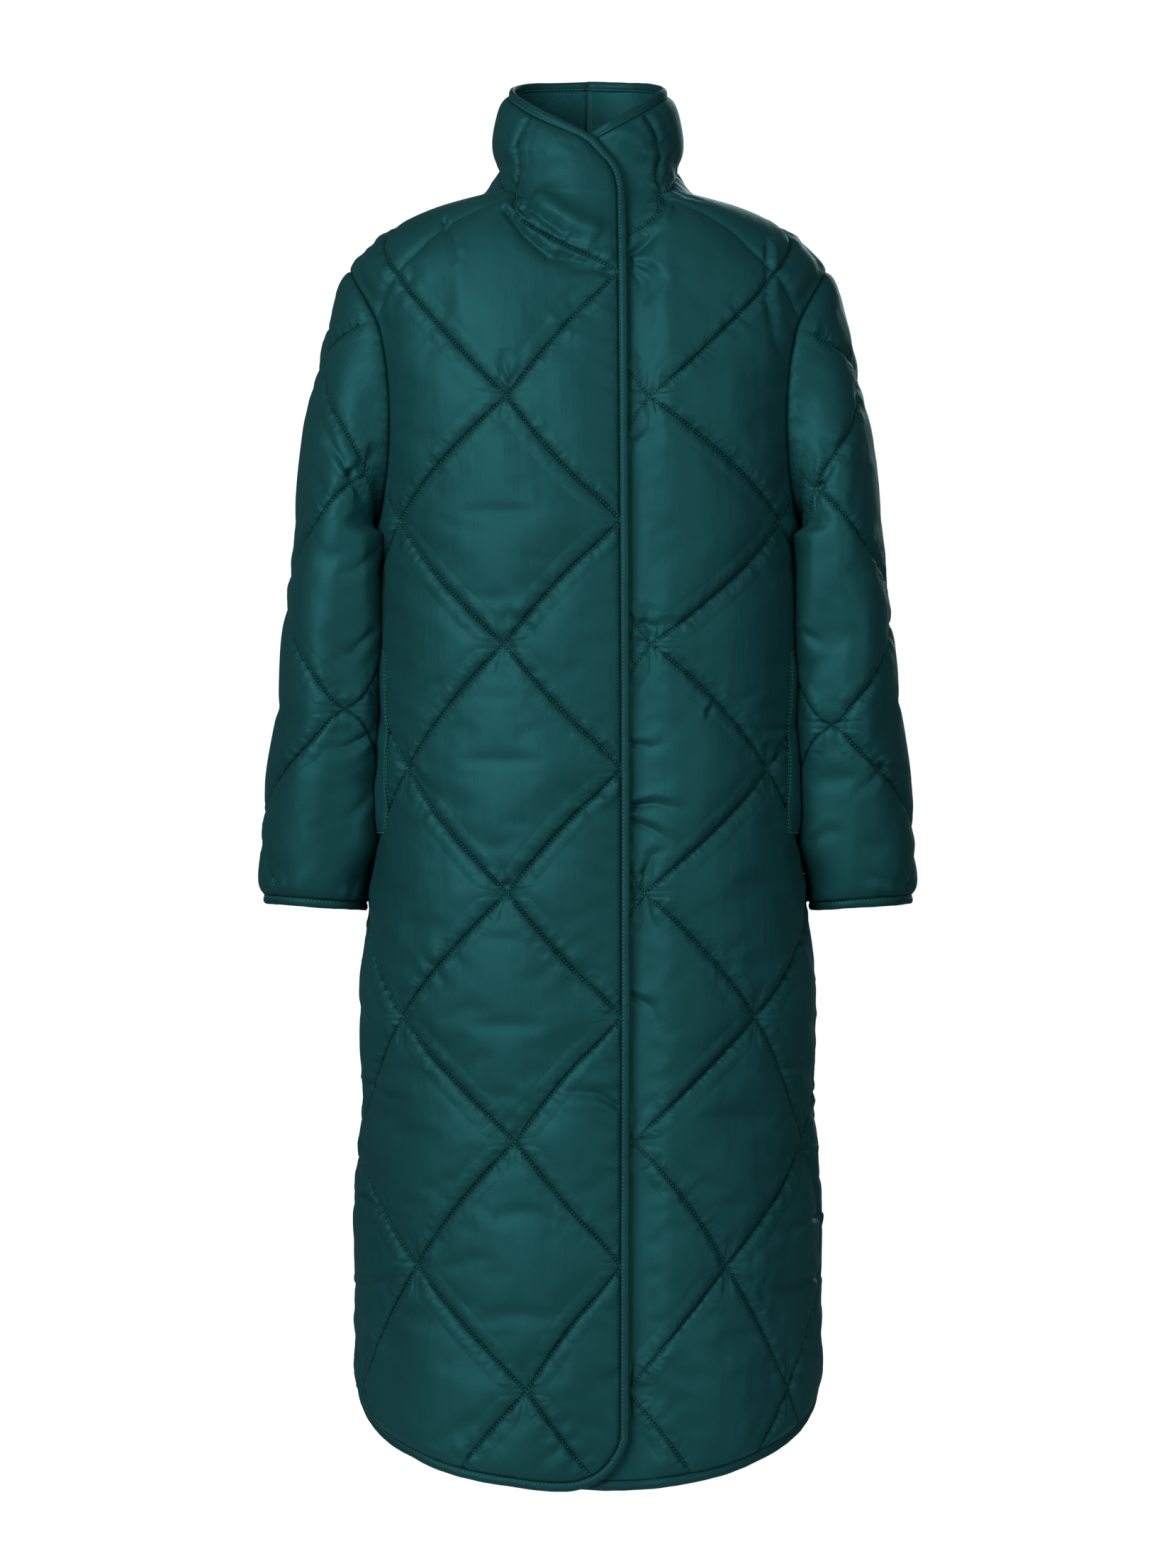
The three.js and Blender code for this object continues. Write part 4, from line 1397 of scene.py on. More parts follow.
@dataclass(frozen=True)
class Puckers:
    """Short gathers that a tight row of stitches draws into the satin beside it."""

    height: float = 1.1
    pitch: float = 95.0
    reach: float = 17.0
    seed: float = 0.0

    def lift(self, place: Vector, distance: float) -> float:
        """How far the gathers move the shell out.

        Args:
            place: Place of the nearest stitch, in metres.
            distance: How far away that is, in millimetres.
        """
        if distance > 3 * self.reach:
            return 0.0
        wave = noise.noise(place * self.pitch + Vector((self.seed, 0, 0)))
        where = ease(noise.noise(place * 17 + Vector((0, self.seed, 3))), -0.3, 0.45)
        profile = (1 - math.exp(-distance / 3)) * math.exp(-((distance / self.reach) ** 2))
        return self.height * 2.2 * wave * where * profile


@dataclass
class Shell:
    """Turns a filled sheet into the finished, closed wall of its panel.

    Attributes:
        panel: The panel.
        sheet: Its filled sheet.
        creases: The creases to work into it.
        neighbours: Faces of the body that a sleeve hangs against.
    """

    panel: Panel
    sheet: bpy.types.Object
    creases: Sequence[Crease]
    neighbours: BVHTree | None = None
    crisp_lift: float = 2.4
    crisp_reach: float = 3.2
    ripple_reach: float = 12.0
    clearance: float = 0.8
    longest_lean: float = 13.0
    ray_start: float = 0.27
    ray_length: float = 0.2
    lining_height: float = 3.4
    fine_reaches: tuple[float, ...] = (2.0, 0.9)

    def __post_init__(self) -> None:
        """Box the creases, and give the panel ripples of its own."""
        self.boxes = [(crease, crease.bounds()) for crease in self.creases]
        self.seed = sum(ord(letter) for letter in self.panel.name) * 0.37

    def finish(self) -> bpy.types.Object:
        """Work in the ripples, puckers and creases, and give the sheet its wall.

        Returns:
            The closed panel.
        """
        subdivide(self.sheet)
        bm = bmesh.new()
        bm.from_mesh(self.sheet.data)
        self._shape(bm)
        if self.neighbours:
            self._hang_against(bm)
        self._sharpen(bm)
        shell = bm.faces[:]
        self._close(bm)
        self._crease(bm, shell)
        mesh = self.sheet.data
        mesh.clear_geometry()
        bm.to_mesh(mesh)
        bm.free()
        self.sheet.vertex_groups.clear()
        return self.sheet

    def _shape(self, bm: bmesh.types.BMesh) -> None:
        """Move the shell's points out and in."""
        way = bm.verts.layers.float_vector["way"]
        inner = bm.verts.layers.float_vector["inner"]
        give = bm.verts.layers.float["give"]
        wall = bm.verts.layers.float["wall"]
        uv = bm.loops.layers.uv["cloth"]
        marks = self._marks()
        stitches = tree_of([place for place, _, _ in marks])
        lines = [tree_of([spot.flat * MM for spot in run]) for run in self.panel.quilting_lines()]
        rim = tree_of([vert.co.copy() for vert in bm.verts if vert.is_boundary])
        ripples = Ripples(height=0.9, seed=self.seed)
        puckers = Puckers(height=1.5, seed=self.seed)
        edge_puckers = Puckers(height=1.3, pitch=120.0, reach=12.0, seed=self.seed + 5)
        sewn = bm.verts.layers.float.new("sewn")
        run = bm.verts.layers.float.new("run")
        drawn = bm.verts.layers.float.new("drawn")
        moves = {}
        for vert in bm.verts:
            stitch, mark, to_stitch = stitches.find(vert.co)
            _, along, start = marks[mark]
            vert[run] = start + (vert.co - stitch).dot(along)
            if to_stitch < SEWN_REACH * MM:
                ranked = sorted(tree.find(vert.co)[2] for tree in lines)
                clear = ease((ranked[1] - ranked[0]) / MM, 1, 9) if len(ranked) > 1 else 1.0
                vert[drawn] = clear * (1 - to_stitch / MM / SEWN_REACH)
            edge, _, to_edge = rim.find(vert.co)
            near = min(to_stitch, to_edge) / MM
            # sewn shapes the shell here and also masks the painted shade that the satin material lays
            # beside stitches and edges.
            vert[sewn] = max(0.0, 1 - near / SEWN_REACH)
            out = vert[way].normalized()
            place = vert.link_loops[0][uv].uv
            free = 1 - math.exp(-near / self.ripple_reach)
            lift = self.crisp_lift * (1 - math.exp(-near / self.crisp_reach)) * vert[give]
            lift += ripples.lift(place.x, place.y) * free
            lift += puckers.lift(stitch, to_stitch / MM) * ease(to_edge / MM, 0, 12)
            lift += edge_puckers.lift(edge, to_edge / MM)
            height = (vert.co - vert[inner]).dot(out) / MM
            floor = vert[wall] / MM - 1.0 - height
            moves[vert] = out * max(lift, min(0.0, floor)) * MM
        for vert, move in moves.items():
            if not vert.is_boundary:
                vert.co += move

    def _marks(self) -> list[tuple[Vector, Vector, float]]:
        """Points close together on the lines: place, way along, and length up to there."""
        marks = []
        walked = 0.0
        for line in self.panel.quilting_lines():
            places = [spot.flat * MM for spot in line]
            for place, after in zip(places, places[1:]):
                step = after - place
                if step.length > 0:
                    marks.append((place, step.normalized(), walked))
                    walked += step.length
            walked += 1.0
        return marks

    def _hang_against(self, bm: bmesh.types.BMesh) -> None:
        """Let a sleeve's inner side lie against the body, without entering it."""
        way = bm.verts.layers.float_vector["way"]
        hand = self.panel.hand.value
        for vert in bm.verts:
            facing = -vert[way].x * hand
            z = vert.co.z / MM
            if vert.is_boundary or facing < 0 or z > FORM.armhole_bottom - 2:
                continue
            start = Vector((hand * self.ray_start, vert.co.y, vert.co.z))
            hit = self.neighbours.ray_cast(start, Vector((-hand, 0, 0)), self.ray_length)[0]
            if hit is None:
                continue
            gap = (vert.co.x - hit.x) * hand / MM
            weight = ease(facing, 0.25, 0.8) * ease(z, -642, -600)
            weight *= ease(FORM.armhole_bottom - z, 2, 12)
            closed = max(gap - self.longest_lean, self.clearance)
            gap_now = max(self.clearance, mix(gap, min(gap, closed), weight))
            vert.co.x = hit.x + hand * gap_now * MM

    def _nearby(self, co: Vector, reach: float = 0.0) -> list[Crease]:
        """Creases whose box, or whose path within a reach, takes in a point."""
        x = co.x / MM
        z = co.z / MM
        found = []
        for crease, (low_x, high_x, low_z, high_z) in self.boxes:
            if low_x < x < high_x and low_z < z < high_z and crease.is_behind == (co.y > 0):
                if not reach or (crease.is_sharp and crease.covers(x, z, reach)):
                    found.append(crease)
        return found

    def _crease(self, bm: bmesh.types.BMesh, shell: list[bmesh.types.BMFace]) -> None:
        """Make the shell's mesh finer round each crease, and work the creases in."""
        line = bm.verts.layers.float["line"]
        way = bm.verts.layers.float_vector["way"]
        sewn = bm.verts.layers.float["sewn"]
        faces = shell
        for reach in self.fine_reaches:
            faces = [face for face in faces if self._nearby(face.calc_center_median(), reach)]
            edges = {
                edge
                for face in faces
                for edge in face.edges
                if not any(vert[line] > ON_LINE or vert[sewn] > 0.9 for vert in edge.verts)
            }
            made = bmesh.ops.subdivide_edges(bm, edges=list(edges), cuts=1, use_grid_fill=True)
            faces = made_of(made, bmesh.types.BMFace)
        outside = {vert for face in shell if face.is_valid for vert in face.verts}
        outside.update(vert for face in faces if face.is_valid for vert in face.verts)
        for face in bm.faces:
            if face.normal.dot(face.verts[0][way]) > 0.3:
                outside.update(face.verts)
        for vert in outside:
            creases = self._nearby(vert.co)
            if creases and vert[sewn] < 0.99:
                distance = SEWN_REACH * (1 - vert[sewn])
                lift = sum(crease.lift(vert.co.x / MM, vert.co.z / MM) for crease in creases)
                vert.co += vert[way].normalized() * (lift * (1 - math.exp(-distance / 3)) * MM)

    @staticmethod
    def _sharpen(bm: bmesh.types.BMesh) -> None:
        """Keep shading sharp where the cloth is stitched down."""
        line = bm.verts.layers.float["line"]
        for face in bm.faces:
            face.smooth = True
        for edge in bm.edges:
            edge.smooth = not all(vert[line] > 0.95 for vert in edge.verts)

    def _close(self, bm: bmesh.types.BMesh) -> None:
        """Add the lining and the thickness along every edge."""
        inner = bm.verts.layers.float_vector["inner"]
        way = bm.verts.layers.float_vector["way"]
        made = bmesh.ops.extrude_face_region(bm, geom=bm.faces[:], use_keep_orig=True)
        uv = bm.loops.layers.uv["cloth"]
        sewn = bm.verts.layers.float["sewn"]
        folds = Ripples(height=self.lining_height, across=26.0, along=5.0, seed=self.seed + 2)
        for vert in made_of(made, bmesh.types.BMVert):
            place = vert.link_loops[0][uv].uv
            vert[bm.verts.layers.float["drawn"]] = 0.0
            fold = max(0.0, folds.lift(place.x, place.y)) * (1 - vert[sewn]) * MM
            vert.co = vert[inner] - vert[way].normalized() * fold
            vert[sewn] = 0.0
        for edge in made_of(made, bmesh.types.BMEdge):
            edge.smooth = True
        bmesh.ops.recalc_face_normals(bm, faces=bm.faces[:])


# ---- Bindings, welts and thread ----------------------------------------------------------------


def faces_of(pieces: Sequence[bpy.types.Object]) -> BVHTree:
    """Search tree of the faces of several pieces."""
    bm = bmesh.new()
    for piece in pieces:
        bm.from_mesh(piece.data)
    tree = BVHTree.FromBMesh(bm)
    bm.free()
    return tree


def smooth_faces(bm: bmesh.types.BMesh) -> None:
    """Shade every face smoothly."""
    for face in bm.faces:
        face.smooth = True


@dataclass(frozen=True)
class Stitch:
    """One stitch: its middle, its way along the seam and its way out of the cloth."""

    place: Vector
    along: Vector
    out: Vector


def stitches_along(points: Sequence[Vector], ways: Sequence[Vector], pitch: float) -> list[Stitch]:
    """Stitches at an even pitch along a line of points.

    Args:
        points: Points of the line, in millimetres.
        ways: Way out of the cloth at each.
        pitch: Length of a stitch and the gap after it.
    """
    stitches = []
    spare = pitch / 2
    for n in range(len(points) - 1):
        step = points[n + 1] - points[n]
        length = step.length
        while spare < length:
            share = spare / length
            place = points[n].lerp(points[n + 1], share)
            out = ways[n].lerp(ways[n + 1], share).normalized()
            stitches.append(Stitch(place, step.normalized(), out))
            spare += pitch
        spare -= length
    return stitches


@dataclass(frozen=True)
class Thread:
    """Sewing thread, shown as a row of short, plump stitches."""

    length: float = 2.7
    pitch: float = 3.5
    radius: float = 0.33
    sides: int = 5

    def sew(self, name: str, stitches: Sequence[Stitch]) -> bpy.types.Object:
        """Join the stitches into one piece.

        Args:
            name: The piece's name.
            stitches: Where each stitch lies, in millimetres.
        """
        shape, faces = self._one()
        count = len(stitches)
        frames = np.empty((count, 3, 3))
        places = np.empty((count, 3))
        for n, stitch in enumerate(stitches):
            side = stitch.along.cross(stitch.out).normalized()
            frames[n] = (stitch.along, side, stitch.along.cross(side))
            places[n] = stitch.place
        verts = np.einsum("vk,nkc->nvc", shape, frames) + places[:, None, :]
        offsets = np.arange(count)[:, None, None] * len(shape)
        mesh = bpy.data.meshes.new(name)
        mesh.from_pydata(
            (verts.reshape(-1, 3) * MM).tolist(), [], (faces[None] + offsets).reshape(-1, 3).tolist()
        )
        mesh.shade_smooth()
        return in_scene(name, mesh)

    def _one(self) -> tuple[np.ndarray, np.ndarray]:
        """Points and triangles of one stitch, along x, pointed at both ends."""
        bm = bmesh.new()
        for end in (-1, 1):
            made = bmesh.ops.create_cone(
                bm,
                segments=self.sides,
                cap_ends=False,
                radius1=self.radius,
                radius2=0,
                depth=self.length / 2,
            )
            for vert in made["verts"]:
                x = end * (vert.co.z + self.length / 4)
                vert.co = Vector((x, end * vert.co.x, vert.co.y))
        bmesh.ops.remove_doubles(bm, verts=bm.verts, dist=0.001)
        bmesh.ops.recalc_face_normals(bm, faces=bm.faces)
        bm.verts.index_update()
        points = np.array([vert.co[:] for vert in bm.verts])
        faces = np.array([[vert.index for vert in face.verts] for face in bm.faces])
        bm.free()
        return points, faces


@dataclass(frozen=True)
class Fold:
    """Section of a binding folded over a raw edge: out from the edge, and through it."""

    half: tuple[tuple[float, float], ...] = (
        (-0.4, 1.5),
        (0.3, 2.0),
        (0.9, 2.05),
        (1.5, 1.65),
        (2.2, 2.2),
        (3.6, 2.5),
        (5.4, 2.4),
        (6.8, 1.9),
        (7.8, 1.0),
    )
    tip: tuple[float, float] = (8.1, 0.0)
    seam_at: float = 1.5
    cloth: float = 0.35

    def points(self) -> list[tuple[float, float]]:
        """The whole section, from the lining's side round to the shell's."""
        inside = [(out, -through) for out, through in self.half]
        return [*inside, self.tip, *reversed(self.half)]

    def width(self) -> float:
        """Width of the strip that shows, laid flat."""
        section = self.points()
        return sum(math.dist(a, b) for a, b in zip(section, section[1:]))


@dataclass
class Binding:
    """A strip of satin folded over the edge of a panel and stitched down.

    Attributes:
        node: The binding's node.
        spots: The panel's edge, point by point.
        way: Way out of the cloth at the first of them.
        is_ring: Whether the edge closes on itself.
    """

    node: str
    spots: Sequence[Spot]
    way: Vector
    is_ring: bool = False
    fold: Fold = Fold()
    overlap: float = 0.6
    stitch_rise: float = 1.85

    def __post_init__(self) -> None:
        """Find which way round the edge runs."""
        self.sign = 1 if self._frame(0)[1].dot(self.way) > 0 else -1

    def _at(self, k: int) -> Spot:
        """Spot by number, past the ends too."""
        if self.is_ring:
            return self.spots[k % len(self.spots)]
        return self.spots[min(max(k, 0), len(self.spots) - 1)]

    def _middle(self, k: int) -> Vector:
        """Middle of the panel's raw edge."""
        spot = self._at(k)
        return spot.inner + spot.way * (spot.wall / 2)

    def _frame(self, k: int) -> tuple[Vector, Vector]:
        """Ways through the cloth and out of its edge, the second either way round."""
        along = self._middle(k + 1) - self._middle(k - 1)
        through = self._at(k).way
        return through, along.cross(through).normalized()

    def _point(self, k: int, out: float, through: float) -> Vector:
        """Point of the folded strip at one place along the edge."""
        way, edge_way = self._frame(k)
        middle = self._middle(k)
        if k <= 0 and not self.is_ring:
            middle = middle + (middle - self._middle(1)).normalized() * self.overlap
        wave = noise.noise(middle * 0.09) * 0.45 + noise.noise(middle * 0.03) * 0.5
        share = min(1.0, max(0.0, out / 4))
        return middle + edge_way * self.sign * (out + wave * share) + way * (through + 0.5 * wave * share)

    def length(self) -> float:
        """Length of the bound edge."""
        count = len(self.spots)
        last = count if self.is_ring else count - 1
        return sum((self._middle(k + 1) - self._middle(k)).length for k in range(last))

    def make(self) -> bpy.types.Object:
        """Make the strip, as a thin shell."""
        section = self.fold.points()
        rows = len(self.spots) if self.is_ring else len(self.spots) - 1
        bm = bmesh.new()
        bm.loops.layers.uv.new("cloth")
        places = numbered_grid(bm, len(section) - 1, rows)
        lengths = [0.0]
        for k in range(rows):
            lengths.append(lengths[-1] + (self._middle(k + 1) - self._middle(k)).length)
        step = self.fold.width() / len(section)
        lay_flat(bm, places, lambda i, k: (lengths[k] * MM, i * step * MM))
        for vert, (i, k) in places.items():
            vert.co = self._point(k, *section[i]) * MM
        if self.is_ring:
            bmesh.ops.remove_doubles(bm, verts=bm.verts, dist=MERGE)
        self._face_out(bm)
        smooth_faces(bm)
        piece = new_piece(f"{self.node}_cloth", bm)
        thick = piece.modifiers.new("cloth", "SOLIDIFY")
        thick.thickness = self.fold.cloth * MM
        thick.offset = -1
        replace_mesh(piece)
        self.fold.width() * MM
        self.length() * MM
        return piece

    def _face_out(self, bm: bmesh.types.BMesh) -> None:
        """Turn the strip's faces away from the panel's edge."""
        total = 0.0
        for face in bm.faces:
            middle = face.calc_center_median()
            core = min(
                (self._middle(k) * MM for k in range(len(self.spots))),
                key=lambda point: (point - middle).length,
            )
            total += face.normal.dot(middle - core)
            if abs(total) > 0.05:
                break
        if total < 0:
            bmesh.ops.reverse_faces(bm, faces=bm.faces)

    def stitches(self, pitch: float) -> list[Stitch]:
        """Topstitching on both faces of the strip."""
        last = len(self.spots) + 1 if self.is_ring else len(self.spots)
        rows = []
        for side in (-1, 1):
            points = [self._point(k, self.fold.seam_at, side * self.stitch_rise) for k in range(last)]
            ways = [self._at(k).way * side for k in range(last)]
            rows.extend(stitches_along(points, ways, pitch))
        return rows


@dataclass
class PocketWelt:
    """A padded strip over a pocket mouth, sewn to a front beside its side seam.

    Attributes:
        front: The front that the welt is sewn to.
        shell: The front's finished shell.
    """

    front: Front
    shell: bpy.types.Object
    top: float = -422.0
    bottom: float = -592.0
    across: int = 10
    down: int = 36
    cell_width: float = 0.0045
    cell_height: float = 0.0047
    start_share: float = 0.33
    end_turn: float = 89.5
    usual_height: float = 9.0
    thickest: float = 10.0
    rim: float = 0.8
    crown: float = 2.6
    crown_change: float = 1.6
    row_gap: float = 4.0
    bar_rise: float = 1.6
    bar_pitch: float = 1.4

    def __post_init__(self) -> None:
        """Measure the front's shell under the welt."""
        self.node = self.front.node.replace("front", "pocket_welt")
        self.surface = faces_of([self.shell])
        self.grid = [[self._seat(i, j) for i in range(self.across + 1)] for j in range(self.down + 1)]
        for _ in range(3):
            self._relax()

    def _seat(self, i: int, j: int) -> Spot:
        """Where the welt meets the shell."""
        z = mix(self.top, self.bottom, j / self.down)
        second = self.front.second(self.front.row(z))
        turn = mix(mix(second, 90, self.start_share), self.end_turn, i / self.across)
        around = self.front.hand.value * turn
        base = FORM.point(around, z)
        way = FORM.normal(around, z)
        hit = self.surface.ray_cast((base + way * 40) * MM, -way, 0.06)[0]
        height = (hit / MM - base).dot(way) if hit else self.usual_height
        return Spot(base, way, min(self.thickest, max(QUILT.seam_wall, height)))

    def _relax(self) -> None:
        """Even out the heights, so that the welt bridges the puckers below it."""
        walls = [[spot.wall for spot in row] for row in self.grid]
        for j, row in enumerate(self.grid):
            for i, spot in enumerate(row):
                around = [
                    walls[b][a]
                    for a in range(max(0, i - 1), min(self.across, i + 1) + 1)
                    for b in range(max(0, j - 1), min(self.down, j + 1) + 1)
                ]
                spot.wall = max(spot.wall, sum(around) / len(around))

    def _top(self, i: int, j: int) -> Vector:
        """Point of the welt's padded top."""
        spot = self.grid[j][i]
        x = 2 * i / self.across - 1
        y = 2 * j / self.down - 1
        crown = (1 - abs(x) ** 3) ** 0.6 * (1 - abs(y) ** 14) ** 0.5
        row = noise.noise(Vector((i * 0.33, j * 0.16, 3.0 + self.front.hand.value)))
        return spot.flat + spot.way * (self.rim + crown * (self.crown + self.crown_change * row))

    def make(self) -> bpy.types.Object:
        """Make the welt as a closed pad."""
        bm = bmesh.new()
        bm.loops.layers.uv.new("cloth")
        number = bm.verts.layers.int.new("number")
        places = numbered_grid(bm, self.across, self.down)
        lay_flat(bm, places, lambda i, j: (i * self.cell_width, -j * self.cell_height))
        for vert, (i, j) in places.items():
            vert.co = self._top(i, j) * MM
            vert[number] = j * (self.across + 1) + i
        if sum(face.normal.dot(self.grid[0][0].way) for face in bm.faces) < 0:
            bmesh.ops.reverse_faces(bm, faces=bm.faces)
        made = bmesh.ops.extrude_face_region(bm, geom=bm.faces[:], use_keep_orig=True)
        for vert in made_of(made, bmesh.types.BMVert):
            j, i = divmod(vert[number], self.across + 1)
            spot = self.grid[j][i]
            vert.co = (spot.flat + spot.way * 0.1) * MM
        bmesh.ops.recalc_face_normals(bm, faces=bm.faces[:])
        smooth_faces(bm)
        piece = new_piece(f"{self.node}_cloth", bm)
        subdivide(piece)
        return piece

    def stitches(self, pitch: float) -> list[Stitch]:
        """Two rows down the welt's front edge, and the bars that hold its ends."""
        rows = []
        for offset in (0, 1):
            spots = [self.grid[j][0] for j in range(self.down + 1)]
            side = [self.grid[j][1].flat - self.grid[j][0].flat for j in range(self.down + 1)]
            shift = [step.normalized() * (1.0 - self.row_gap * offset) for step in side]
            rise = 1.7 - 0.7 * offset
            points = [s.flat + s.way * rise + step for s, step in zip(spots, shift)]
            rows.extend(stitches_along(points, [s.way for s in spots], pitch))
        for j in (0, self.down):
            spots = self.grid[j]
            points = [spot.flat + spot.way * self.bar_rise for spot in spots]
            rows.extend(stitches_along(points, [spot.way for spot in spots], self.bar_pitch))
        return rows


# ---- Finishes ----------------------------------------------------------------------------------


@dataclass(frozen=True)
class Satin:
    """Smooth polyester satin over padding, or the thread that sews it.

    Attributes:
        name: The material's name.
        colour: Its linear colour.
        roughness: How matt it is.
        gloss: Share of the light that the dyed yarn throws back in its own colour.
        ripple: Depth of the ripples that are too fine for the mesh, in metres.
        gather: Depth of the small gathers beside each row of stitches, in metres.
        weave: Depth of the weave, in metres.
    """

    name: str
    colour: tuple[float, float, float]
    roughness: float = 0.57
    gloss: float = 0.34
    ripple: float = 0.0013
    gather: float = 0.005
    weave: float = 0.00012

    def make(self) -> bpy.types.Material:
        """Build the material's nodes."""
        material = bpy.data.materials.new(self.name)
        material.use_nodes = True
        tree = material.node_tree
        nodes = tree.nodes
        links = tree.links
        cloth = nodes["Principled BSDF"]
        finish = {
            "Roughness": self.roughness,
            "Metallic": self.gloss,
            "Specular IOR Level": 0.2,
            "Specular Tint": (0.25, 0.95, 0.95, 1),
            "Sheen Weight": 0.02,
            "Sheen Roughness": 0.45,
            "Sheen Tint": (0.3, 0.8, 0.83, 1),
        }
        for socket, value in finish.items():
            cloth.inputs[socket].default_value = value
        place = nodes.new("ShaderNodeUVMap")
        place.uv_map = "cloth"
        tone = self._noise(tree, place.outputs["UV"], (9, 4, 1), 1.0)
        ramp = nodes.new("ShaderNodeValToRGB")
        for stop, place_on, shade in zip(ramp.color_ramp.elements, (0.3, 0.7), (0.9, 1.1)):
            stop.position = place_on
            stop.color = (*(shade * c for c in self.colour), 1)
        links.new(tone.outputs["Fac"], ramp.inputs["Fac"])
        sewn, drawn_in, run = (self._mark(tree, name) for name in ("sewn", "drawn", "run"))
        # Painted shade: the base colour darkens to 0.3 of itself next to the stitches and edges, standing
        # in for the shade that falls in the quilting valleys.
        shade = self._ranged(tree, sewn, (0.86, 1.0), (1.0, 0.3))
        shaded = nodes.new("ShaderNodeVectorMath")
        shaded.operation = "MULTIPLY"
        links.new(ramp.outputs["Color"], shaded.inputs[0])
        links.new(shade.outputs["Result"], shaded.inputs[1])
        links.new(shaded.outputs["Vector"], cloth.inputs["Base Color"])
        ripple = self._noise(tree, place.outputs["UV"], (70, 14, 1), 2.0)
        first = self._bump(tree, ripple.outputs["Fac"], self.ripple, None)
        beside = self._ranged(tree, drawn_in, (0.2, 0.85), (0.0, 1.0))
        across = nodes.new("ShaderNodeCombineXYZ")
        links.new(run.outputs["Fac"], across.inputs["X"])
        links.new(sewn.outputs["Fac"], across.inputs["Y"])
        gathers = self._noise(tree, across.outputs["Vector"], (110, 1.3, 1), 1.0)
        drawn = nodes.new("ShaderNodeMath")
        drawn.operation = "MULTIPLY"
        links.new(gathers.outputs["Fac"], drawn.inputs[0])
        links.new(beside.outputs["Result"], drawn.inputs[1])
        second = self._bump(tree, drawn.outputs["Value"], self.gather, first)
        weave = self._noise(tree, place.outputs["UV"], (1300, 600, 1), 0.0)
        third = self._bump(tree, weave.outputs["Fac"], self.weave, second)
        links.new(third.outputs["Normal"], cloth.inputs["Normal"])
        return material

    @staticmethod
    def _mark(tree: bpy.types.NodeTree, name: str) -> bpy.types.Node:
        """One of the shell's attributes."""
        mark = tree.nodes.new("ShaderNodeAttribute")
        mark.attribute_name = name
        return mark

    @staticmethod
    def _noise(
        tree: bpy.types.NodeTree,
        place: bpy.types.NodeSocket,
        scale: tuple[float, float, float],
        detail: float,
    ) -> bpy.types.Node:
        """Noise across the cloth, stretched by the scale of each way."""
        mapping = tree.nodes.new("ShaderNodeMapping")
        mapping.inputs["Scale"].default_value = scale
        tree.links.new(place, mapping.inputs["Vector"])
        texture = tree.nodes.new("ShaderNodeTexNoise")
        texture.inputs["Scale"].default_value = 1.0
        texture.inputs["Detail"].default_value = detail
        tree.links.new(mapping.outputs["Vector"], texture.inputs["Vector"])
        return texture

    @staticmethod
    def _ranged(
        tree: bpy.types.NodeTree,
        source: bpy.types.Node,
        given: tuple[float, float],
        wanted: tuple[float, float],
    ) -> bpy.types.Node:
        """An attribute's values, moved from one range to another."""
        ranged = tree.nodes.new("ShaderNodeMapRange")
        for socket, value in zip(("From Min", "From Max", "To Min", "To Max"), (*given, *wanted)):
            ranged.inputs[socket].default_value = value
        tree.links.new(source.outputs["Fac"], ranged.inputs["Value"])
        return ranged

    @staticmethod
    def _bump(
        tree: bpy.types.NodeTree,
        height: bpy.types.NodeSocket,
        depth: float,
        under: bpy.types.Node | None,
    ) -> bpy.types.Node:
        """A bump of a depth in metres, over another bump."""
        bump = tree.nodes.new("ShaderNodeBump")
        bump.inputs["Distance"].default_value = depth
        bump.inputs["Strength"].default_value = 0.7
        tree.links.new(height, bump.inputs["Height"])
        if under:
            tree.links.new(under.outputs["Normal"], bump.inputs["Normal"])
        return bump


# ---- Studio ------------------------------------------------------------------------------------


@dataclass(frozen=True)
class Softbox:
    """A large, soft lamp that faces the middle of the coat."""

    name: str
    place: tuple[float, float, float]
    size: float
    power: float

    def hang(self, target: Vector) -> None:
        """Put the lamp in the scene, facing a target."""
        light = bpy.data.lights.new(self.name, "AREA")
        light.shape = "SQUARE"
        light.size = self.size
        light.energy = self.power
        lamp = in_scene(self.name, light)
        lamp.location = self.place
        lamp.rotation_euler = (target - lamp.location).to_track_quat("-Z", "Y").to_euler()


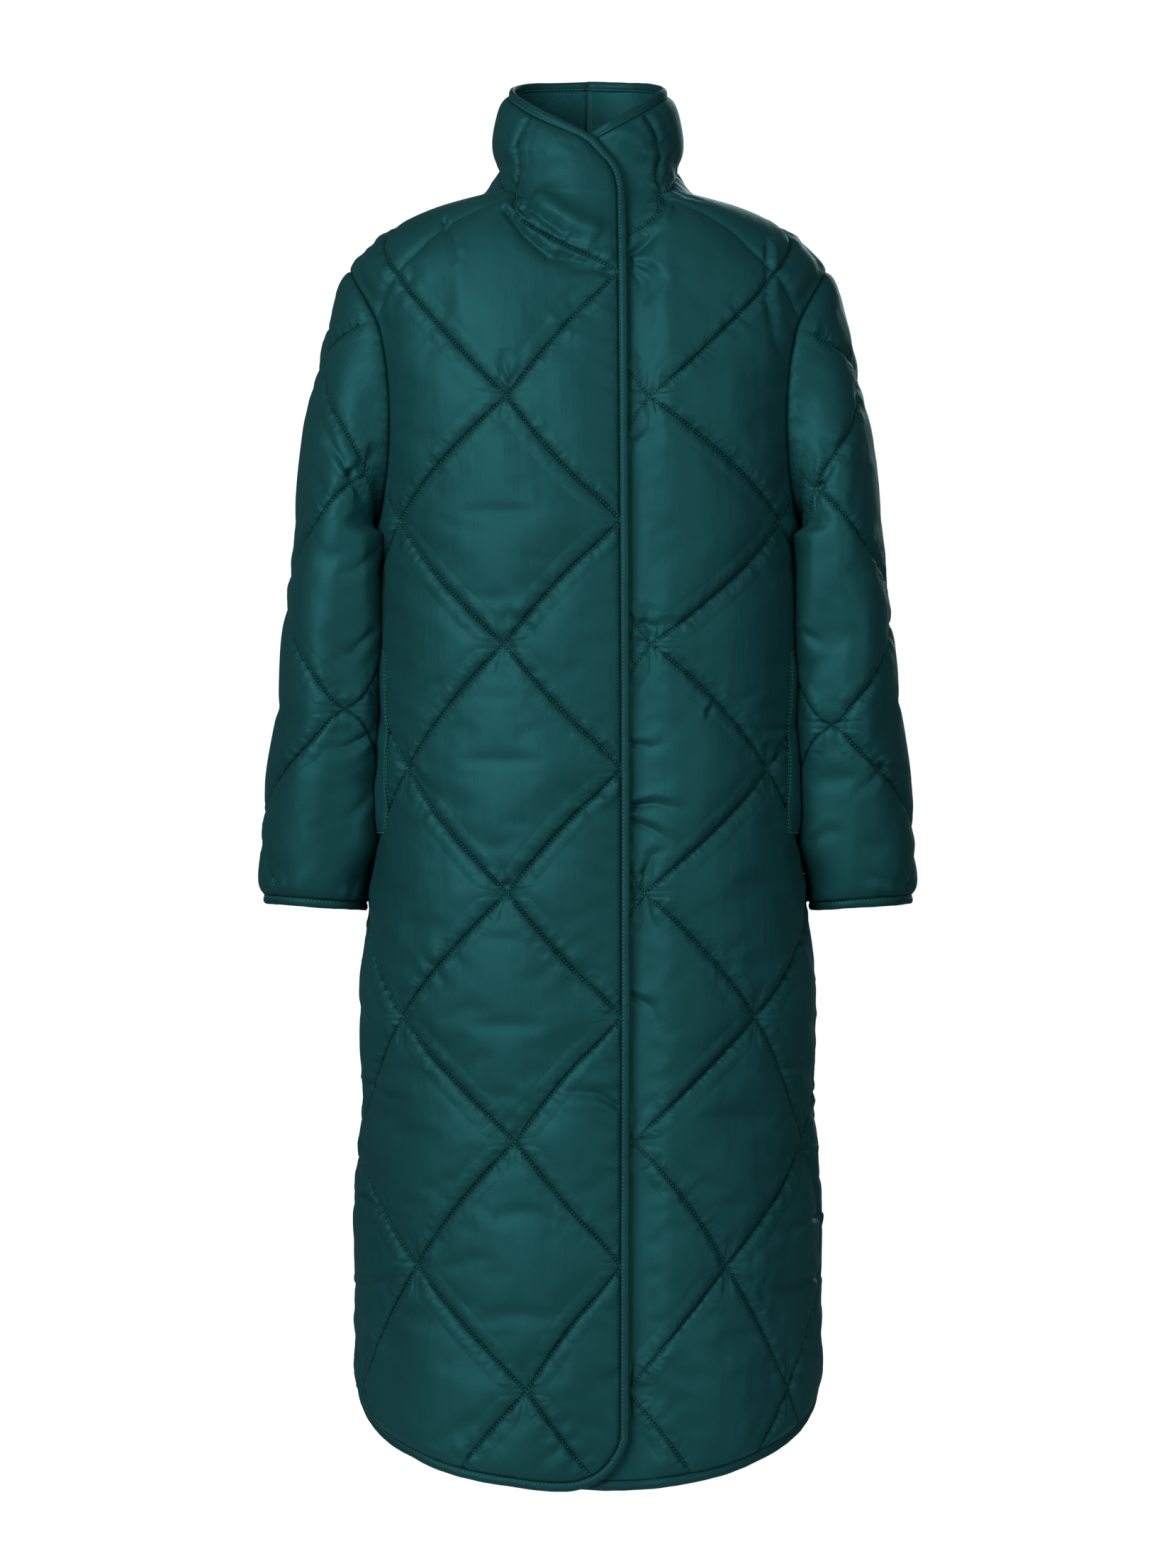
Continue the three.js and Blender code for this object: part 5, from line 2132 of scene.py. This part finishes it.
@dataclass(frozen=True)
class Studio:
    """A pale sweep, soft lamps and the camera."""

    middle: Vector = field(default_factory=lambda: Vector((0, 0, -0.546)))
    distance: float = 14.0
    front: float = -0.08
    framed: float = 1.46
    floor: float = -1.42

    def make(self) -> None:
        """Set up everything round the coat."""
        self._sweep()
        self._world()
        lamps = (
            Softbox("key", (-1.8, -2.7, 0.6), 1.7, 112),
            Softbox("fill", (2.4, -3.2, 0.1), 1.8, 48),
            Softbox("top", (0.0, -1.0, 2.8), 1.6, 6),
            Softbox("behind", (0.8, 3.6, 0.8), 1.8, 50),
        )
        for lamp in lamps:
            lamp.hang(self.middle)
        self._camera()
        bpy.context.scene.view_settings.view_transform = "Standard"

    def _camera(self) -> None:
        """Look level at the coat's front."""
        camera = bpy.data.cameras.new("camera")
        camera.sensor_fit = "AUTO"
        camera.lens = camera.sensor_width * self.distance / self.framed
        eye = in_scene("camera", camera)
        eye.location = (0, self.front - self.distance, self.middle.z)
        eye.rotation_euler = (math.radians(90), 0, 0)
        bpy.context.scene.camera = eye

    def _sweep(self) -> None:
        """Lay a pale floor."""
        bm = bmesh.new()
        bmesh.ops.create_grid(bm, x_segments=2, y_segments=2, size=0.6)
        bmesh.ops.translate(bm, verts=bm.verts, vec=(0, 0, self.floor))
        floor = new_piece("floor", bm)
        paint = bpy.data.materials.new("floor_paint")
        paint.use_nodes = True
        surface = paint.node_tree.nodes["Principled BSDF"]
        surface.inputs["Base Color"].default_value = (0.92, 0.92, 0.92, 1)
        surface.inputs["Roughness"].default_value = 0.8
        floor.data.materials.append(paint)

    @staticmethod
    def _world() -> None:
        """Light softly from all round, before a white backdrop."""
        world = bpy.data.worlds.new("studio")
        world.use_nodes = True
        nodes = world.node_tree.nodes
        links = world.node_tree.links
        soft = nodes["Background"]
        soft.inputs["Color"].default_value = (0.95, 0.97, 1.0, 1)
        soft.inputs["Strength"].default_value = 0.12
        white = nodes.new("ShaderNodeBackground")
        white.inputs["Color"].default_value = (1, 1, 1, 1)
        white.inputs["Strength"].default_value = 1.0
        path = nodes.new("ShaderNodeLightPath")
        mixed = nodes.new("ShaderNodeMixShader")
        links.new(path.outputs["Is Camera Ray"], mixed.inputs[0])
        links.new(soft.outputs["Background"], mixed.inputs[1])
        links.new(white.outputs["Background"], mixed.inputs[2])
        links.new(mixed.outputs["Shader"], nodes["World Output"].inputs["Surface"])
        bpy.context.scene.world = world


# ---- The coat ----------------------------------------------------------------------------------


class Coat:
    """The whole coat: its panels, bindings, welts and sewing."""

    def __init__(self) -> None:
        """Set up the panels and finishes."""
        self.over = Front(hand=Hand.RIGHT, is_over=True)
        self.under = Front(hand=Hand.LEFT, is_over=False)
        self.back = Back()
        self.sleeves = (
            Sleeve(hand=Hand.RIGHT, node_height=-255),
            Sleeve(hand=Hand.LEFT, node_height=-270),
        )
        self.thread = Thread()
        self.satin = Satin("satin", (0.0072, 0.053, 0.057)).make()
        self.trim = Satin("binding_satin", (0.0064, 0.043, 0.046)).make()
        self.cotton = Satin("thread", (0.030, 0.21, 0.17), 0.7, 0.0, 0.0, 0.0, 0.0).make()

    def make(self) -> None:
        """Make every piece of the coat."""
        panels = [self.over, self.under, self.back, *self.sleeves]
        sheets = [panel.start_sheet() for panel in panels]
        log.info("sheets cut")
        Filling().fill_out(sheets)
        log.info("sheets filled")
        body = sheets[:3]
        for panel, sheet in zip(panels, body):
            self._finish_panel(panel, sheet, None)
        welts = [self._welt(PocketWelt(front, sheet)) for front, sheet in zip(panels, sheets[:2])]
        neighbours = faces_of([*body, *welts])
        for sleeve, sheet in zip(self.sleeves, sheets[3:]):
            self._finish_panel(sleeve, sheet, neighbours)
        self._bindings()

    def _finish_panel(
        self, panel: Panel, sheet: bpy.types.Object, neighbours: BVHTree | None
    ) -> None:
        """Finish a panel and sew its quilting lines."""
        piece = Shell(panel, sheet, CREASES[panel.node], neighbours).finish()
        self._dress(piece, self.satin, Slot.SHELL)
        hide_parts(panel.node)
        stitches = []
        for line in panel.quilting_lines():
            points = [spot.flat + spot.way * 0.3 for spot in line]
            stitches.extend(stitches_along(points, [spot.way for spot in line], self.thread.pitch))
        sewing = self.thread.sew(f"{panel.node}_quilting", stitches)
        self._dress(sewing, self.cotton, Slot.SHELL)

    def _welt(self, welt: PocketWelt) -> bpy.types.Object:
        """Make a pocket welt with its sewing."""
        piece = welt.make()
        self._dress(piece, self.satin, Slot.SHELL)
        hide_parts(welt.node)
        sewing = self.thread.sew(f"{welt.node}_stitching", welt.stitches(self.thread.pitch))
        self._dress(sewing, self.cotton, Slot.SHELL)
        return piece

    def _bindings(self) -> None:
        """Bind the fronts, the back's hem and the cuffs."""
        for front in (self.over, self.under):
            last = front.rows
            top = [front.spot(i, 0) for i in range(front.collar_columns, -1, -1)]
            free = [front.spot(0, j) for j in range(1, last)]
            hem = [front.spot(i, last) for i in range(front.columns + 1)]
            spots = without_repeats([*top, *free, *hem])
            node = front.node.replace("front", "edge_binding")
            self._bind(Binding(node, spots, Vector((0, 0, 1))))
        hem = without_repeats([self.back.spot(i, self.back.rows) for i in range(self.back.columns + 1)])
        self._bind(Binding("hem_binding_back", hem, Vector((0, 0, -1))))
        for sleeve in self.sleeves:
            cuff = [sleeve.spot(i, sleeve.rows) for i in range(sleeve.columns)]
            node = sleeve.node.replace("sleeve", "cuff_binding")
            self._bind(Binding(node, cuff, Vector((0, 0, -1)), is_ring=True))

    def _bind(self, binding: Binding) -> None:
        """Make one binding with its topstitching."""
        piece = binding.make()
        self._dress(piece, self.trim, Slot.BINDING)
        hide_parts(binding.node)
        sewing = self.thread.sew(f"{binding.node}_stitching", binding.stitches(self.thread.pitch))
        self._dress(sewing, self.cotton, Slot.BINDING)

    @staticmethod
    def _dress(piece: bpy.types.Object, material: bpy.types.Material, slot: Slot) -> None:
        """Give a piece its finish and its body, and report it."""
        piece.data.materials.clear()
        piece.data.materials.append(material)
        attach(piece, BODY)
        log.info("%s made, %d faces", piece.name, len(piece.data.polygons))


def without_repeats(spots: Sequence[Spot]) -> list[Spot]:
    """Spots along an edge, without those that lie on the one before."""
    kept = [spots[0]]
    for spot in spots[1:]:
        if (spot.inner - kept[-1].inner).length > 0.5:
            kept.append(spot)
    return kept


def main() -> None:
    """Build the coat and its studio in order."""
    logging.basicConfig(level=logging.INFO, format="%(message)s")
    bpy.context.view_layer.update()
    Coat().make()
    Studio().make()


if __name__ == "__main__":
    main()
